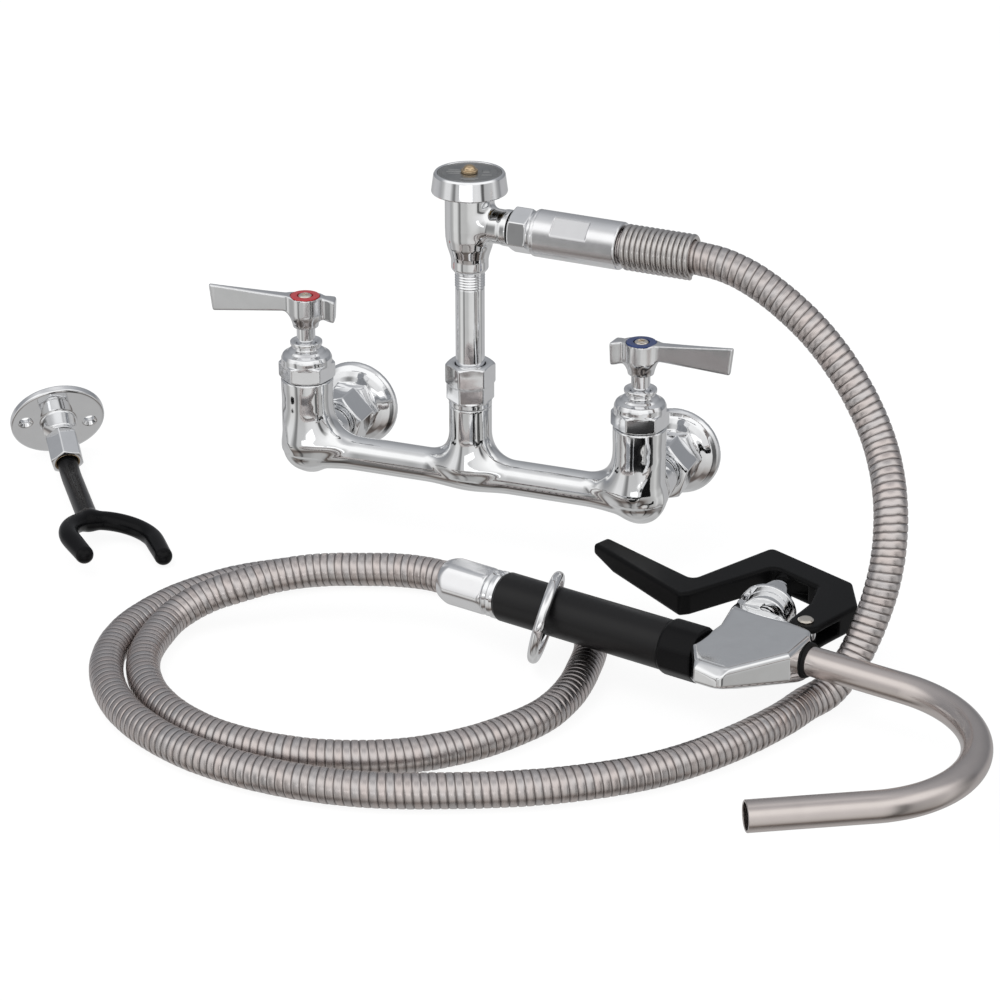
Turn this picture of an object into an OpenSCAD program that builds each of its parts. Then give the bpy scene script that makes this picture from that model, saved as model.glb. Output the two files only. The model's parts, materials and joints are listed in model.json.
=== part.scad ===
// Wall-mount kettle and pot filler faucet with a flexible hose, a squeeze
// valve with a hook nozzle, and a wall hook. Millimetres.
// Origin: wall plane, midway between the two water inlets, at inlet height.
// +X right, +Y into the wall, +Z up. The table the hose rests on is z = -50.

/* [Faucet body] */
// Distance between the two inlet centres (8 inch rough-in)
inlet_centres = 203.2; // [190:0.1:215]
// Distance of the valve and riser axes from the wall
body_reach = 72.3; // [70:0.1:78]
// Radius of the cross bar between the valves
bar_r = 9.9; // [8:0.1:10]
// Radius of the upright valve chambers
limb_r = 14.9; // [14.5:0.1:15]
// Effective bore radius of the half inch NPT female inlets
inlet_bore_r = 9.9; // [9.5:0.1:10.2]

/* [Handles] */
// Lever length from the stem axis
lever_len = 56; // [45:1:70]
// Direction of the left lever, from +X
hot_dir = 197.5; // [180:0.5:225]
// Direction of the right lever, from +X
cold_dir = -6.5; // [-45:0.5:10]
// Height at the top of the handle hubs
hub_top = 94; // [94:0.5:98]

/* [Riser and vacuum breaker] */
// Outside radius of the riser pipe (three eighths NPT)
riser_r = 8.55; // [8.55:0.01:8.6]
// Height of the side outlet axis
outlet_z = 151.4; // [151:0.1:152]
// Turn of the side outlet towards the user
outlet_turn = 4.8; // [0:0.1:10]
// Radius of the cap's lower rim
cap_r = 21.2; // [20:0.1:22]

/* [Hose] */
// Outside radius of the interlocked hose
hose_r = 9.1; // [8.9:0.05:9.15]
// Number of flats used round the hose
hose_sides = 12; // [8:1:12]
// Height of the hose centre where it lies on the table
lay_z = -40.85; // [-42:0.05:-40]

/* [Spray valve] */
// Turn of the valve as it lies, from +X
valve_turn = -13.4; // [-14:0.1:-13]
// Height of the valve's centre plane
valve_z = -17; // [-17:0.5:-15]
// Outside radius of the black grip
grip_r = 13.6; // [13.2:0.1:13.8]
// Outside radius of the nozzle tube
nozzle_r = 7.95; // [7.5:0.05:8]
// Centre line radius of the nozzle bend
nozzle_bend = 66.2; // [60:1:70]
// Angle of the nozzle bend
nozzle_angle = 137.5; // [130:0.5:140]

/* [Wall hook] */
// Radius of the hook's wall flange
hook_flange_r = 29.5; // [28:0.5:31]
// Pitch circle of its two screw holes
hook_pcd = 40; // [38:1:42]
// Outside radius of the coated hook rod
hook_r = 5.65; // [5.4:0.05:5.65]

/* [Hidden] */
$fn = 48;
inlet_x = inlet_centres/2;
gap = 0.05;           // clearance between mating faces
ball_extra = 0.02;    // joint balls stand this proud of the rods they join

// ---- colours used by several nodes ----
body_chrome = [0.82,0.83,0.85];
flange_chrome = [0.8,0.81,0.83];
nut_chrome = [0.85,0.86,0.88];
chrome = [0.84,0.85,0.87];
brass = [0.75,0.62,0.3];
stem_brass = [0.8,0.68,0.35];
rubber = [0.15,0.15,0.15];
disc_white = [0.95,0.95,0.93];
casing_steel = [0.62,0.58,0.56];
liner_black = [0.1,0.1,0.1];

// ---- helpers: all stand on local z, starting at height z ----
module rod(z, radius, height) translate([0,0,z]) cylinder(r = radius, h = height);
module cone(z, bottom, top, height) translate([0,0,z]) cylinder(r1 = bottom, r2 = top, h = height);
module tube(z, outer, inner, height) translate([0,0,z]) difference() {
    cylinder(r = outer, h = height);
    rod(-1, inner, height+2);
}
module hexagon(flats, height) cylinder(r = flats/2/cos(30), h = height, $fn = 6);
// hexagon with its corners taken off at both ends
module chamfer_hex(z, flats, height) translate([0,0,z]) intersection() {
    hexagon(flats, height);
    union() {
        cone(0, flats/2, flats/2+height*0.9, height/2);
        cone(height/2, flats/2+height*0.9, flats/2, height/2);
    }
}

// ---- frames of the faucet; side is -1 for hot (left), 1 for cold (right) ----
module at_inlet(side) translate([side*inlet_x,0,0]) children();
module at_valve(side) translate([side*inlet_x,-body_reach,0]) children();
module on_riser() translate([0,-body_reach,0]) children();
// local z runs from the wall towards the user
module from_wall() rotate([90,0,0]) children();
// local z runs along the cross bar, to the right for direction 1
module along_bar(direction) translate([0,0,bar_z]) rotate([0,direction*90,0]) children();

// ---- supply side, one inlet about its own axis ----
union_thread_r = 12.6;
union_bore_r = 7.4;
union_collar_reach = 28.3;   // wall to the body's collar

// female inlet, wall escutcheon and union tail in one casting
module supply_flange() from_wall() difference() {
    union() {
        // radius, distance from the wall
        rotate_extrude() polygon([[0,0], [26.2,0], [26.2,2.2], [25.2,4.2], [22.5,6.6],
            [19,8.4], [15.5,9.4], [15.5,10], [0,10]]);
        chamfer_hex(8, 29.5, 7.4);
        rod(14, union_thread_r, 11.2);
    }
    rod(-1, inlet_bore_r, 15.6);
    rod(10, union_bore_r, 20);
}
module coupling_nut() from_wall() difference() {
    chamfer_hex(16.5, 31.5, 20.5);
    rod(16, union_thread_r+gap, 16.6);
    rod(30, 10.55, 10);
}
module hot_supply_flange() color(flange_chrome) at_inlet(-1) supply_flange();
module cold_supply_flange() color(flange_chrome) at_inlet(1) supply_flange();
module hot_coupling_nut() color(nut_chrome) at_inlet(-1) coupling_nut();
module cold_coupling_nut() color(nut_chrome) at_inlet(1) coupling_nut();
module union_washers() color(rubber)
    for (side = [-1,1]) at_inlet(side) from_wall() tube(25.4, 11.6, union_bore_r, 2.8);

// ---- faucet body ----
bar_z = 1;
limb_top = 43.8;
limb_rim_r = 15;
bonnet_thread_r = 11.4;
boss_r = 12.3;               // upright boss under the riser
boss_top = 42;
boss_ball_r = 13;
riser_thread_r = 10.4;
riser_thread_len = 12;

module body_side(side) {
    at_valve(side) {
        translate([0,0,0.5]) sphere(r = 15.2);
        rod(0, limb_r, limb_top);
        rod(limb_top, bonnet_thread_r, 6);
        cone(33, limb_r, limb_rim_r, 4);
        rod(37, limb_rim_r, 4.4);
        along_bar(-side) cylinder(r1 = 14.2, r2 = bar_r, h = 42);
    }
    // arm back to the union, its neck and the collar held by the nut
    at_inlet(side) from_wall() {
        rod(41, 13.4, body_reach-4-41);
        rod(union_collar_reach, 10.5, 16);
        rod(union_collar_reach, 12.4, 4.2);
    }
}
module body_centre() on_riser() {
    translate([0,0,bar_z]) sphere(r = boss_ball_r);
    rod(0, boss_r, boss_top);
    cone(3, 13.2, boss_r, 10);
    for (side = [-1,1]) along_bar(side) cylinder(r1 = boss_ball_r, r2 = bar_r, h = 30);
    rod(boss_top, riser_thread_r, riser_thread_len);
}
module body_side_bores(side) {
    at_valve(side) {
        rod(5, 9.5, 60);     // cartridge bore
        along_bar(-side) cylinder(r = 5.6, h = inlet_x);
        rod(-5, 6, 20);
    }
    at_inlet(side) from_wall() rod(20, 7, body_reach-20-7.5);
}
module faucet_body() color(body_chrome) difference() {
    union() {
        for (side = [-1,1]) body_side(side);
        at_valve(-1) along_bar(1) cylinder(r = bar_r, h = inlet_centres);
        body_centre();
    }
    for (side = [-1,1]) body_side_bores(side);
    on_riser() rod(0, 7, 60);
}

// ---- valve cartridge and handle, one side, about the stem axis ----
cartridge_r = 9.4;
disc_r = 7.5;
stem_r = 5.35;
broach_r = 4.2;
// the seal and discs stack up from the foot of the cartridge
cartridge_z = 8;
seal_z = cartridge_z+gap;
seal_h = 2.4;
lower_disc_z = seal_z+seal_h+gap;
lower_disc_h = 3;
upper_disc_z = lower_disc_z+lower_disc_h+gap;
upper_disc_h = 3.95;
stem_z = upper_disc_z+upper_disc_h+gap;
hub_r = 9.3;
index_floor = 92.2;          // floor of the recess for the index ring

module bonnet_nut() difference() {
    union() {
        chamfer_hex(43.9, 28.8, 10.6);
        // radius, height above the hexagon
        translate([0,0,54]) rotate_extrude() polygon([[0,0], [14.7,0], [14.7,2.8], [13.8,4.8],
            [11.4,6], [10.2,7.4], [9.3,8.4], [9.3,12.7], [0,12.7]]);
    }
    rod(41, bonnet_thread_r+gap, 9.2);
    rod(49, cartridge_r+gap, 11.05);
    rod(58, 5.45, 10);
}
module cartridge_body() difference() {
    rod(cartridge_z, cartridge_r, 52);
    rod(7, 7.57, 20);
    rod(20, 5.42, 41);
    translate([0,0,24]) {
        rotate([90,0,0]) cylinder(r = 2.2, h = 30, center = true);
        rotate([0,90,0]) cylinder(r = 2.2, h = 30, center = true);
    }
}
module seat_seal() tube(seal_z, disc_r, 5, seal_h);
module lower_disc() difference() {
    rod(lower_disc_z, disc_r+gap, lower_disc_h);
    for (angle = [0,180]) rotate(angle) translate([4,0,10]) cylinder(r = 2.2, h = 5);
}
module upper_disc() difference() {
    rod(upper_disc_z, disc_r, upper_disc_h);
    translate([-5.5,-1.5,15.5]) cube([11,3,3]);
    translate([3.6,3,13]) cylinder(r = 2, h = 2);
}
module stem() difference() {
    union() {
        rod(stem_z, disc_r, 3.4);
        rod(20, stem_r, 55.2);
        rod(75, broach_r, 13);                                // carries the handle
        translate([-5.4,-1.4,15.6]) cube([10.8,2.8,4]);       // key in the upper disc's slot
    }
    rod(78, 1.6, 12);
}
// seen from the side: distance from the axis, height
blade_profile = [[-18,91.5], [-18,80.5], [-14,78.6], [0,79], [9,83.6], [20,85],
    [lever_len-4,84], [lever_len-2,84.6], [lever_len,99.8], [lever_len-1,100.4], [18,95.5],
    [9.2,hub_top+0.6], [9.2,hub_top], [0,hub_top], [-10,hub_top]];
// seen from above: distance from the axis, offset to the side
blade_plan = [[-18,-2], [-18,2], [-8,4.4], [6,4.2], [20,2.6], [lever_len+1,1.3],
    [lever_len+1,-1.3], [20,-2.6], [6,-4.2], [-8,-4.4]];
// hub and upright paddle blade
module lever(direction) difference() {
    union() {
        cone(75.3, 7.4, hub_r, 7);
        rod(82.3, hub_r, hub_top-82.3);
        rotate([0,0,direction]) intersection() {
            rotate([90,0,0]) translate([0,0,-6]) linear_extrude(12) polygon(blade_profile);
            linear_extrude(110) polygon(blade_plan);
        }
    }
    rod(74, broach_r+gap, 14.1);
    rod(80, 2.1, 20);
    rod(index_floor, 9, 20);
}
module index_ring() tube(index_floor+gap, 8.9, 4.3, 2);
module lever_screw() {
    rod(80.1, 1.55, 13);
    rod(88.2, 2.05, 4.4);
    cone(92.3, 4.2, 3.4, 2.4);
}

module hot_bonnet_nut() color(nut_chrome) at_valve(-1) bonnet_nut();
module cold_bonnet_nut() color(nut_chrome) at_valve(1) bonnet_nut();
module cartridge_bodies() color(brass) for (side = [-1,1]) at_valve(side) cartridge_body();
module cartridge_seals() color(rubber) for (side = [-1,1]) at_valve(side) seat_seal();
module lower_discs() color([0.92,0.92,0.9]) for (side = [-1,1]) at_valve(side) lower_disc();
module hot_stem() color(stem_brass) at_valve(-1) stem();
module cold_stem() color(stem_brass) at_valve(1) stem();
module hot_upper_disc() color(disc_white) at_valve(-1) upper_disc();
module cold_upper_disc() color(disc_white) at_valve(1) upper_disc();
module hot_lever() color(body_chrome) at_valve(-1) lever(hot_dir);
module cold_lever() color(body_chrome) at_valve(1) lever(cold_dir);
module hot_index_ring() color([0.8,0.08,0.1]) at_valve(-1) index_ring();
module cold_index_ring() color([0.1,0.25,0.6]) at_valve(1) index_ring();
module hot_lever_screw() color([0.85,0.8,0.7]) at_valve(-1) lever_screw();
module cold_lever_screw() color([0.85,0.8,0.7]) at_valve(1) lever_screw();

// ---- riser and vacuum breaker, about the riser axis ----
riser_foot_r = 10.3;         // flange at the foot of the riser, and its washer
ring_pitch = 1.5;            // of the fine rings near the top of the riser
breaker_r = 13.7;
outlet_r = 9.8;
outlet_len = 26.1;
outlet_lip = 2.5;
outlet_bore_r = 6.5;
cap_top = 180.5;

module riser_nut() color(chrome) on_riser() difference() {
    union() {
        rod(42.2, 12.3, 3);
        chamfer_hex(45, 23.8, 9.8);
        chamfer_hex(54.4, 25.2, 13.6);
    }
    rod(42, riser_thread_r+gap, 18.6);
    rod(60, 8.6, 10);
}
module riser_washer() color(rubber)
    on_riser() tube(boss_top+riser_thread_len+gap, riser_foot_r, 6.4, 2.4);
module riser_tube() color(chrome) on_riser() difference() {
    union() {
        rod(56.5, riser_foot_r, 3.4);
        rod(58, riser_r, 74);
        for (i = [0:4]) rod(115.2+i*ring_pitch, riser_r+0.25, 0.7);
    }
    rod(50, 6.3, 90);
}
// local z runs out along the side outlet
module along_outlet()
    on_riser() translate([0,0,outlet_z]) rotate([0,0,-outlet_turn]) rotate([0,90,0]) children();
module breaker_body() color(chrome) difference() {
    union() {
        // radius, height
        on_riser() rotate_extrude() polygon([[0,123], [9.9,123], [10.4,123.6], [10.4,129.6],
            [10.8,131], [12.6,136.5], [13.5,140], [breaker_r,143], [breaker_r,166.4],
            [13.2,167], [0,167]]);
        along_outlet() {
            rod(0, outlet_r, outlet_len);
            cone(11, 11.6, outlet_r, 5);
            rod(outlet_len-outlet_lip, 10.3, outlet_lip);
        }
    }
    on_riser() {
        rod(120, 8.85, 12.05);
        rod(130, 6, 10);
        rod(137, 10.2, 40);
    }
    along_outlet() rod(6, outlet_bore_r, 30);
}
module breaker_guide() color(brass) on_riser() difference() {
    union() {
        rod(161, 10.15, 3);
        rod(152, 4.2, 12);
        rod(163, 4.2, 9.4);
    }
    rod(151, 2.55, 12.5);
    rod(166.5, 1.7, 8);
    for (angle = [0:60:300]) rotate(angle) translate([7.2,0,160]) cylinder(r = 1.7, h = 6);
}
module breaker_float() color([0.2,0.2,0.22]) on_riser() {
    rod(137.05, 8.6, 2.6);
    rod(139, 2.5, 19.5);
}
module breaker_cap() color([0.6,0.62,0.63]) on_riser() difference() {
    // radius, height
    rotate_extrude() polygon([[0,172.5], [16.5,172.5], [18.2,171.2], [19.3,169.4], [20.9,169.1],
        [cap_r,169.6], [19.7,179.8], [19,cap_top], [0,cap_top]]);
    rod(170, 2.3, 20);
}
module breaker_screw() color([0.75,0.6,0.4]) on_riser() {
    rod(166.6, 1.65, 14.5);
    rod(cap_top+gap, 4.6, 1.6);
    translate([0,0,182.1]) intersection() {
        hexagon(7, 2.6);
        cylinder(r1 = 4, r2 = 3.2, h = 2.6);
    }
}

// ---- hose fittings on the side outlet ----
sleeve_r = 13.2;
sleeve_end_r = 12.4;
sleeve_bevel = 0.8;
guard_coils = 13;
guard_pitch = 3.1;
guard_root_r = 11.6;
guard_bulge = 1.1;           // height of each coil above the root
guard_bore_r = hose_r+0.2;
hose_socket_r = hose_r+0.15;

module outlet_washer() color([0.12,0.12,0.12])
    along_outlet() tube(outlet_len+gap, 10, outlet_bore_r, 1.2);
module hose_adapter() color(chrome) along_outlet() difference() {
    union() {
        chamfer_hex(27.4, 22.6, 11.8);
        rod(38, 10.6, 2.9);
        rod(37, 8.6, 9);
        rod(24, 6.3, 4);
    }
    rod(15, 5, 40);
}
module hose_sleeve() color(chrome) along_outlet() difference() {
    union() {
        cone(41, sleeve_end_r, sleeve_r, sleeve_bevel);
        rod(41.8, sleeve_r, 50.4);
        cone(92.2, sleeve_r, sleeve_end_r, sleeve_bevel);
    }
    rod(37, 8.7, 10);
    rod(46.4, hose_socket_r, 60);
    // two opposite flats
    for (side = [-1,1]) rotate([0,0,46]) translate([side*16.4,0,65]) cube([9,30,21], center = true);
}
module spring_guard() color([0.72,0.71,0.7]) along_outlet() translate([0,0,93.1])
    rotate_extrude() polygon(concat(
        [[guard_bore_r,0]],
        [for (i = [0:guard_coils*6]) let(turn = i/6)
            [guard_root_r+guard_bulge*sin(180*(turn-floor(turn))), turn*guard_pitch]],
        [[guard_bore_r,guard_coils*guard_pitch]]));

// ---- the hose: a smooth curve through its control points ----
ferrule_u = -163.4;          // hose end of the ferrule, along the valve
valve_origin = [185.33,-214,valve_z];
function on_outlet(reach, rise = 0) =
    [reach*cos(-outlet_turn), -body_reach+reach*sin(-outlet_turn), outlet_z+rise];
function on_grip(u) = valve_origin+u*[cos(valve_turn), sin(valve_turn), 0];

// from the outlet down to the table: x, y, z
drop = [on_outlet(47), on_outlet(92), on_outlet(120), on_outlet(136), on_outlet(150,-1.2),
    [197,-91,128], [226,-98,101], [246,-108,73], [261,-133,44], [264,-148,18],
    [260,-161,-9], [253,-175,-29], [245.5,-190,-38.8], [238,-203,lay_z]];
// first loop on the table, clockwise seen from above: x, y
outer_loop = [[233,-219], [226,-236], [212,-263], [189,-295], [149,-328], [100,-353],
    [54.5,-368.2], [2,-371.3], [-44.9,-361.6], [-99.6,-326.5], [-125.9,-282.8],
    [-130.5,-249.1], [-128.1,-231.7], [-122,-211], [-113.5,-194], [-99.8,-174.9],
    [-85.8,-162.1], [-62,-146], [-37,-135.5], [-17,-130], [3,-128.5], [35,-131],
    [68,-138], [95.5,-153], [110.8,-177.5], [117,-207], [119,-238]];
// second loop, inside the first: x, y
inner_loop = [[115,-263.6], [106,-283.1], [94.9,-300.3], [81.9,-314.8], [65.3,-328.2],
    [45.1,-338.6], [20.7,-345.8], [0.6,-347.7], [-38.5,-342.5], [-85.4,-313], [-108,-275.7]];
// up from the table and into the spray valve: x, y, z
rise = [[-112.6,-249.4,-40.2], [-111.8,-234,-38.3], [-106,-222.9,-34.8], [-96.7,-213.9,-30.8],
    [-85.3,-207.2,-27.2], [-69.7,-195.5,-23.9], [-48,-184.5,-21],
    [-24,-179,-18.8], [-2,-174.3,-17.6],
    on_grip(ferrule_u-8), on_grip(ferrule_u+6), on_grip(ferrule_u+13)];
knots = concat(drop, [for (p = concat(outer_loop, inner_loop)) [p[0],p[1],lay_z]], rise);
last_knot = len(knots)-1;
swing_knot = 4;              // just outside the guard, where the hose swings
lift_knot = last_knot-5;     // where the hose bends as the valve is picked up
hose_step = 17;              // longest spacing of the samples
casing_bore_r = 7.2;
// length left off each side of the two joints: casing, liner
swing_trim = [2,1.6];
lift_trim = [3.9,3.2];

function unit(v) = v/norm(v);
function knot(i) = knots[max(0, min(last_knot, i))];
// chord directions weighted by the opposite chord's length, which keeps the curve
// from bulging between uneven knots
function tangent(i) = let(
        before = knot(i)-knot(i-1),
        after = knot(i+1)-knot(i),
        len_before = max(norm(before), 0.001),
        len_after = max(norm(after), 0.001))
    i == 0 ? after/len_after
    : i == last_knot ? before/len_before
    : (before/len_before*len_after+after/len_after*len_before)/(len_before+len_after);
// Hermite curve from knot i to the next: [position, derivative] at t from 0 to 1
function hermite(i, t) = let(
        start = knot(i),
        end = knot(i+1),
        span = norm(end-start),
        pull_start = tangent(i)*span,
        pull_end = tangent(i+1)*span,
        t2 = t*t,
        t3 = t2*t)
    [start*(2*t3-3*t2+1)+pull_start*(t3-2*t2+t)+end*(-2*t3+3*t2)+pull_end*(t3-t2),
     start*(6*t2-6*t)+pull_start*(3*t2-4*t+1)+end*(-6*t2+6*t)+pull_end*(3*t2-2*t)];
function pieces(i) = max(1, ceil(norm(knot(i+1)-knot(i))/hose_step));
function samples(first, last) = concat(
    [for (i = [first:last-1], k = [0:pieces(i)-1]) hermite(i, k/pieces(i))],
    [hermite(last-1, 1)]);
// moves the two end samples inwards along the curve
function trim(path, at_start, at_end) = [for (i = [0:len(path)-1])
    let(point = path[i][0], slope = path[i][1])
    i == 0 ? [point+unit(slope)*at_start, slope]
    : i == len(path)-1 ? [point-unit(slope)*at_end, slope]
    : path[i]];
// points of the n-sided rings round a path
function rings(path, radius, n) = [for (sample = path)
    let(ahead = unit(sample[1]), level = unit(cross([0,0,1], ahead)), up = cross(ahead, level))
    for (k = [0:n-1]) sample[0]+radius*(level*cos(360*k/n)+up*sin(360*k/n))];
// quads between m rings of n points, the first point being number base
function skin(m, n, base = 0) = [for (i = [0:m-2], k = [0:n-1])
    let(a = base+i*n+k, b = base+i*n+(k+1)%n) [a, b, b+n, a+n]];
module sweep_tube(path, outer, inner, n) {
    m = len(path);
    inside = m*n;            // number of the first inner point
    end = (m-1)*n;           // number of the last outer ring's first point
    polyhedron(points = concat(rings(path, outer, n), rings(path, inner, n)), faces = concat(
        skin(m, n),
        [for (quad = skin(m, n, inside)) [quad[0], quad[3], quad[2], quad[1]]],
        [for (k = [0:n-1]) [k, inside+k, inside+(k+1)%n, (k+1)%n]],
        [for (k = [0:n-1]) [end+k, end+(k+1)%n, inside+end+(k+1)%n, inside+end+k]]),
        convexity = 10);
}
// the same sweep as a solid wire
module sweep_wire(path, radius, n) {
    m = len(path);
    polyhedron(points = rings(path, radius, n), faces = concat(
        skin(m, n),
        [[for (k = [n-1:-1:0]) k]],
        [[for (k = [0:n-1]) (m-1)*n+k]]), convexity = 10);
}
module casing(first, last, at_start, at_end)
    sweep_tube(trim(samples(first, last), at_start, at_end), hose_r, casing_bore_r, hose_sides);
module liner(first, last, at_start, at_end)
    sweep_tube(trim(samples(first, last), at_start, at_end), 6.6, 4.8, 8);

module hose_inlet_casing() color(casing_steel) casing(0, swing_knot, 0, swing_trim[0]);
module hose_inlet_liner() color(liner_black) liner(0, swing_knot, 0, swing_trim[1]);
module hose_casing() color(casing_steel)
    casing(swing_knot, lift_knot, swing_trim[0], lift_trim[0]);
module hose_liner() color(liner_black)
    liner(swing_knot, lift_knot, swing_trim[1], lift_trim[1]);
module hose_end_casing() color(casing_steel) casing(lift_knot, last_knot, lift_trim[0], 0);
module hose_end_liner() color(liner_black) liner(lift_knot, last_knot, lift_trim[1], 0);

// ---- spray valve: u along the grip, v in the lever's plane, w up ----
grip_tube_r = 8;
ferrule_r = 13.1;
collar_r = 15.3;
stem_base = [2.5,60];        // u, v
stem_lean = asin(0.28);
stem_bore_r = 7.6;
bonnet_thread_neck_r = 10.4;
plunger_r = 3.5;
pin_u = 30.7;
pin_v = 52.9;
pin_r = 2.5;
tab_thick = 6.6;             // tab of the body that carries the trigger pin
nozzle_start_u = 30.2;
nozzle_bend_u = 103.2;       // where the straight tube meets the bend
nozzle_v = 26.2;
nozzle_tip_len = 62.7;       // straight length after the bend
gland_u = 44.6;
gland_r = 9.6;

module on_valve() translate(valve_origin) rotate([0,0,valve_turn]) children();
// local z runs along u
module along_grip(u) translate([u,0,0]) rotate([0,90,0]) children();
module along_nozzle(u) translate([u,nozzle_v,0]) rotate([0,90,0]) children();
// local y runs up the leaning push rod
module stem_frame() translate([stem_base[0],stem_base[1],0]) rotate([0,0,stem_lean]) children();
// local z runs up the leaning push rod
module along_stem() stem_frame() rotate([-90,0,0]) children();
module at_pin() translate([pin_u,pin_v,0]) children();

module hose_ferrule() color(chrome) on_valve() along_grip(ferrule_u) difference() {
    intersection() {
        rotate([0,0,30]) hexagon(24, 30.4);
        union() {
            cone(0, 10.6, ferrule_r, 5);
            rod(5, ferrule_r, 24);
            cone(29, ferrule_r, 12.2, 1.4);
        }
    }
    rod(-1, hose_socket_r, 15);
    rod(0, 4.8, 40);
    rod(20.4, 6.2, 12);      // socket for the grip tube
}
module grip_ring() color([0.8,0.8,0.82]) on_valve() along_grip(-132.8)
    // radius, distance along the grip
    rotate_extrude() polygon([[6.15,0], [12.4,0], [13.1,1.1], [12.5,2.4], [12.5,3],
        [13.3,4], [13.3,6.2], [12.4,7.6], [6.15,7.6]]);
module grip_tube() color([0.78,0.66,0.36]) on_valve() along_grip(-132.6) difference() {
    union() {
        rod(-10, 6.1, 19);
        rod(7.7, grip_tube_r, 124.5);
    }
    rod(-12, 4.7, 180);
}
module grip_sleeve() color([0.1,0.1,0.105]) on_valve() along_grip(-125) difference() {
    union() {
        cone(0, grip_r-0.8, grip_r, 1.5);
        rod(1.5, grip_r, 102.8);
    }
    rod(-1, grip_tube_r+gap, 120);
}
module grip_collar() color([0.09,0.09,0.1]) on_valve() along_grip(-20.6) difference() {
    intersection() {
        rotate(22.5) cylinder(r = 14.6/cos(22.5), h = 20.4, $fn = 8);
        union() {
            cone(0, 13.9, collar_r, 3);
            rod(3, collar_r, 18);
        }
    }
    rod(-1, grip_tube_r+gap, 30);
}

// u, v
body_outline = [[0.1,16], [-8.6,47], [-11.8,56], [16,49], [27,41.5], [43.5,36],
    [46.5,29.5], [48.5,5], [28.5,-33], [12.5,-31], [0.1,-13]];
// v, w
body_section = [[-3,-13], [34,-13], [50,-8], [60,-8], [60,8], [50,8], [34,13],
    [-27,13], [-33.5,8], [-33.5,3], [-31,1.5]];
module valve_casting() {
    intersection() {
        translate([0,0,-13]) linear_extrude(26) polygon(body_outline);
        rotate([90,0,90]) translate([0,0,-60]) linear_extrude(160) polygon(body_section);
    }
    along_stem() {
        rod(-8, 13, 9.5);
        rod(-2, bonnet_thread_neck_r, 8);
    }
    at_pin() rod(-tab_thick/2, 6.4, tab_thick);
    translate([25,34,-tab_thick/2]) cube([11.5,20,tab_thick]);
}
module valve_body() color(chrome) on_valve() difference() {
    valve_casting();
    // the underside rises to the outlet
    multmatrix([[1,0,0,0], [0,1,0,0], [0.42,-0.39,1,-22.1]])
        translate([-30,-60,-40]) cube([110,130,40]);
    along_grip(-1) cylinder(r = 6.5, h = 22);
    along_stem() rod(-44, stem_bore_r, 60);
    along_nozzle(0) cylinder(r = 6.2, h = 60);
    along_nozzle(30) cylinder(r = nozzle_r+gap, h = 60);
    along_nozzle(gland_u) cylinder(r = gland_r+gap, h = 60);
    at_pin() {
        rod(-20, 2.52, 40);
        // room for the lever's fork on both faces of the tab
        for (w = [tab_thick/2+gap, -tab_thick/2-gap-20]) rod(w, 9.5, 20);
    }
}
module valve_bonnet() color(nut_chrome) on_valve() along_stem() difference() {
    union() {
        rod(1.6, 16.2, 3);
        translate([0,0,4.5]) intersection() {
            rotate(15) cylinder(r1 = 15.6, r2 = 8.8, h = 22.5, $fn = 6);
            cylinder(r1 = 15.2, r2 = 8.4, h = 22.5);
        }
        rod(26.9, 6.6, 4);
    }
    rod(1, bonnet_thread_neck_r+gap, 5.1);
    rod(5, stem_bore_r, 17);
    rod(20, plunger_r+gap, 12);
}
module valve_seat() color([0.15,0.15,0.16])
    on_valve() along_stem() translate([0,0,-43.6]) difference() {
        cylinder(r = 7.5, h = 4);
        rod(-1, 2.6, 6);
        for (angle = [0:90:270]) rotate(angle) translate([5,0,-1]) cylinder(r = 1.2, h = 6);
    }
// [position, derivative] samples, n to the turn
function helix(radius, pitch, turns, n) = [for (i = [0:n*turns]) let(angle = 360*i/n)
    [[radius*cos(angle), radius*sin(angle), pitch*i/n],
     [-radius*sin(angle)*2*PI/360, radius*cos(angle)*2*PI/360, pitch/360]]];
module valve_spring() color([0.7,0.7,0.72]) on_valve() along_stem() translate([0,0,-38])
    sweep_wire(helix(radius = 5.6, pitch = 4.2, turns = 6, n = 12), radius = 0.9, n = 6);
module valve_plunger() color(nut_chrome) on_valve() along_stem() {
    rod(-31, 2.5, 52);
    rod(-10.5, 7.55, 3);
    rod(20, plunger_r, 14.9);
    cone(34.85, plunger_r, 2, 3.1);
}

// u, v
trigger_outline = [[-113.2,75], [-112.4,80], [-110.2,82], [-107,81], [-45.6,64.3],
    [-30.5,119.5], [-28,122.2], [-25,121.6], [24,109.8], [28.5,107.4], [44.2,86.4],
    [44.9,82.5], [41,58.5], [38.4,49.5], [35,45.6], [31,44.3], [26.6,45.2], [23.2,48.2],
    [22,53], [21.6,73.2], [15.4,93], [-15.8,101.1], [-35,55], [-38.6,45.2], [-42,43.6],
    [-71.7,54.6], [-111,71], [-112.8,72.4]];
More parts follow.
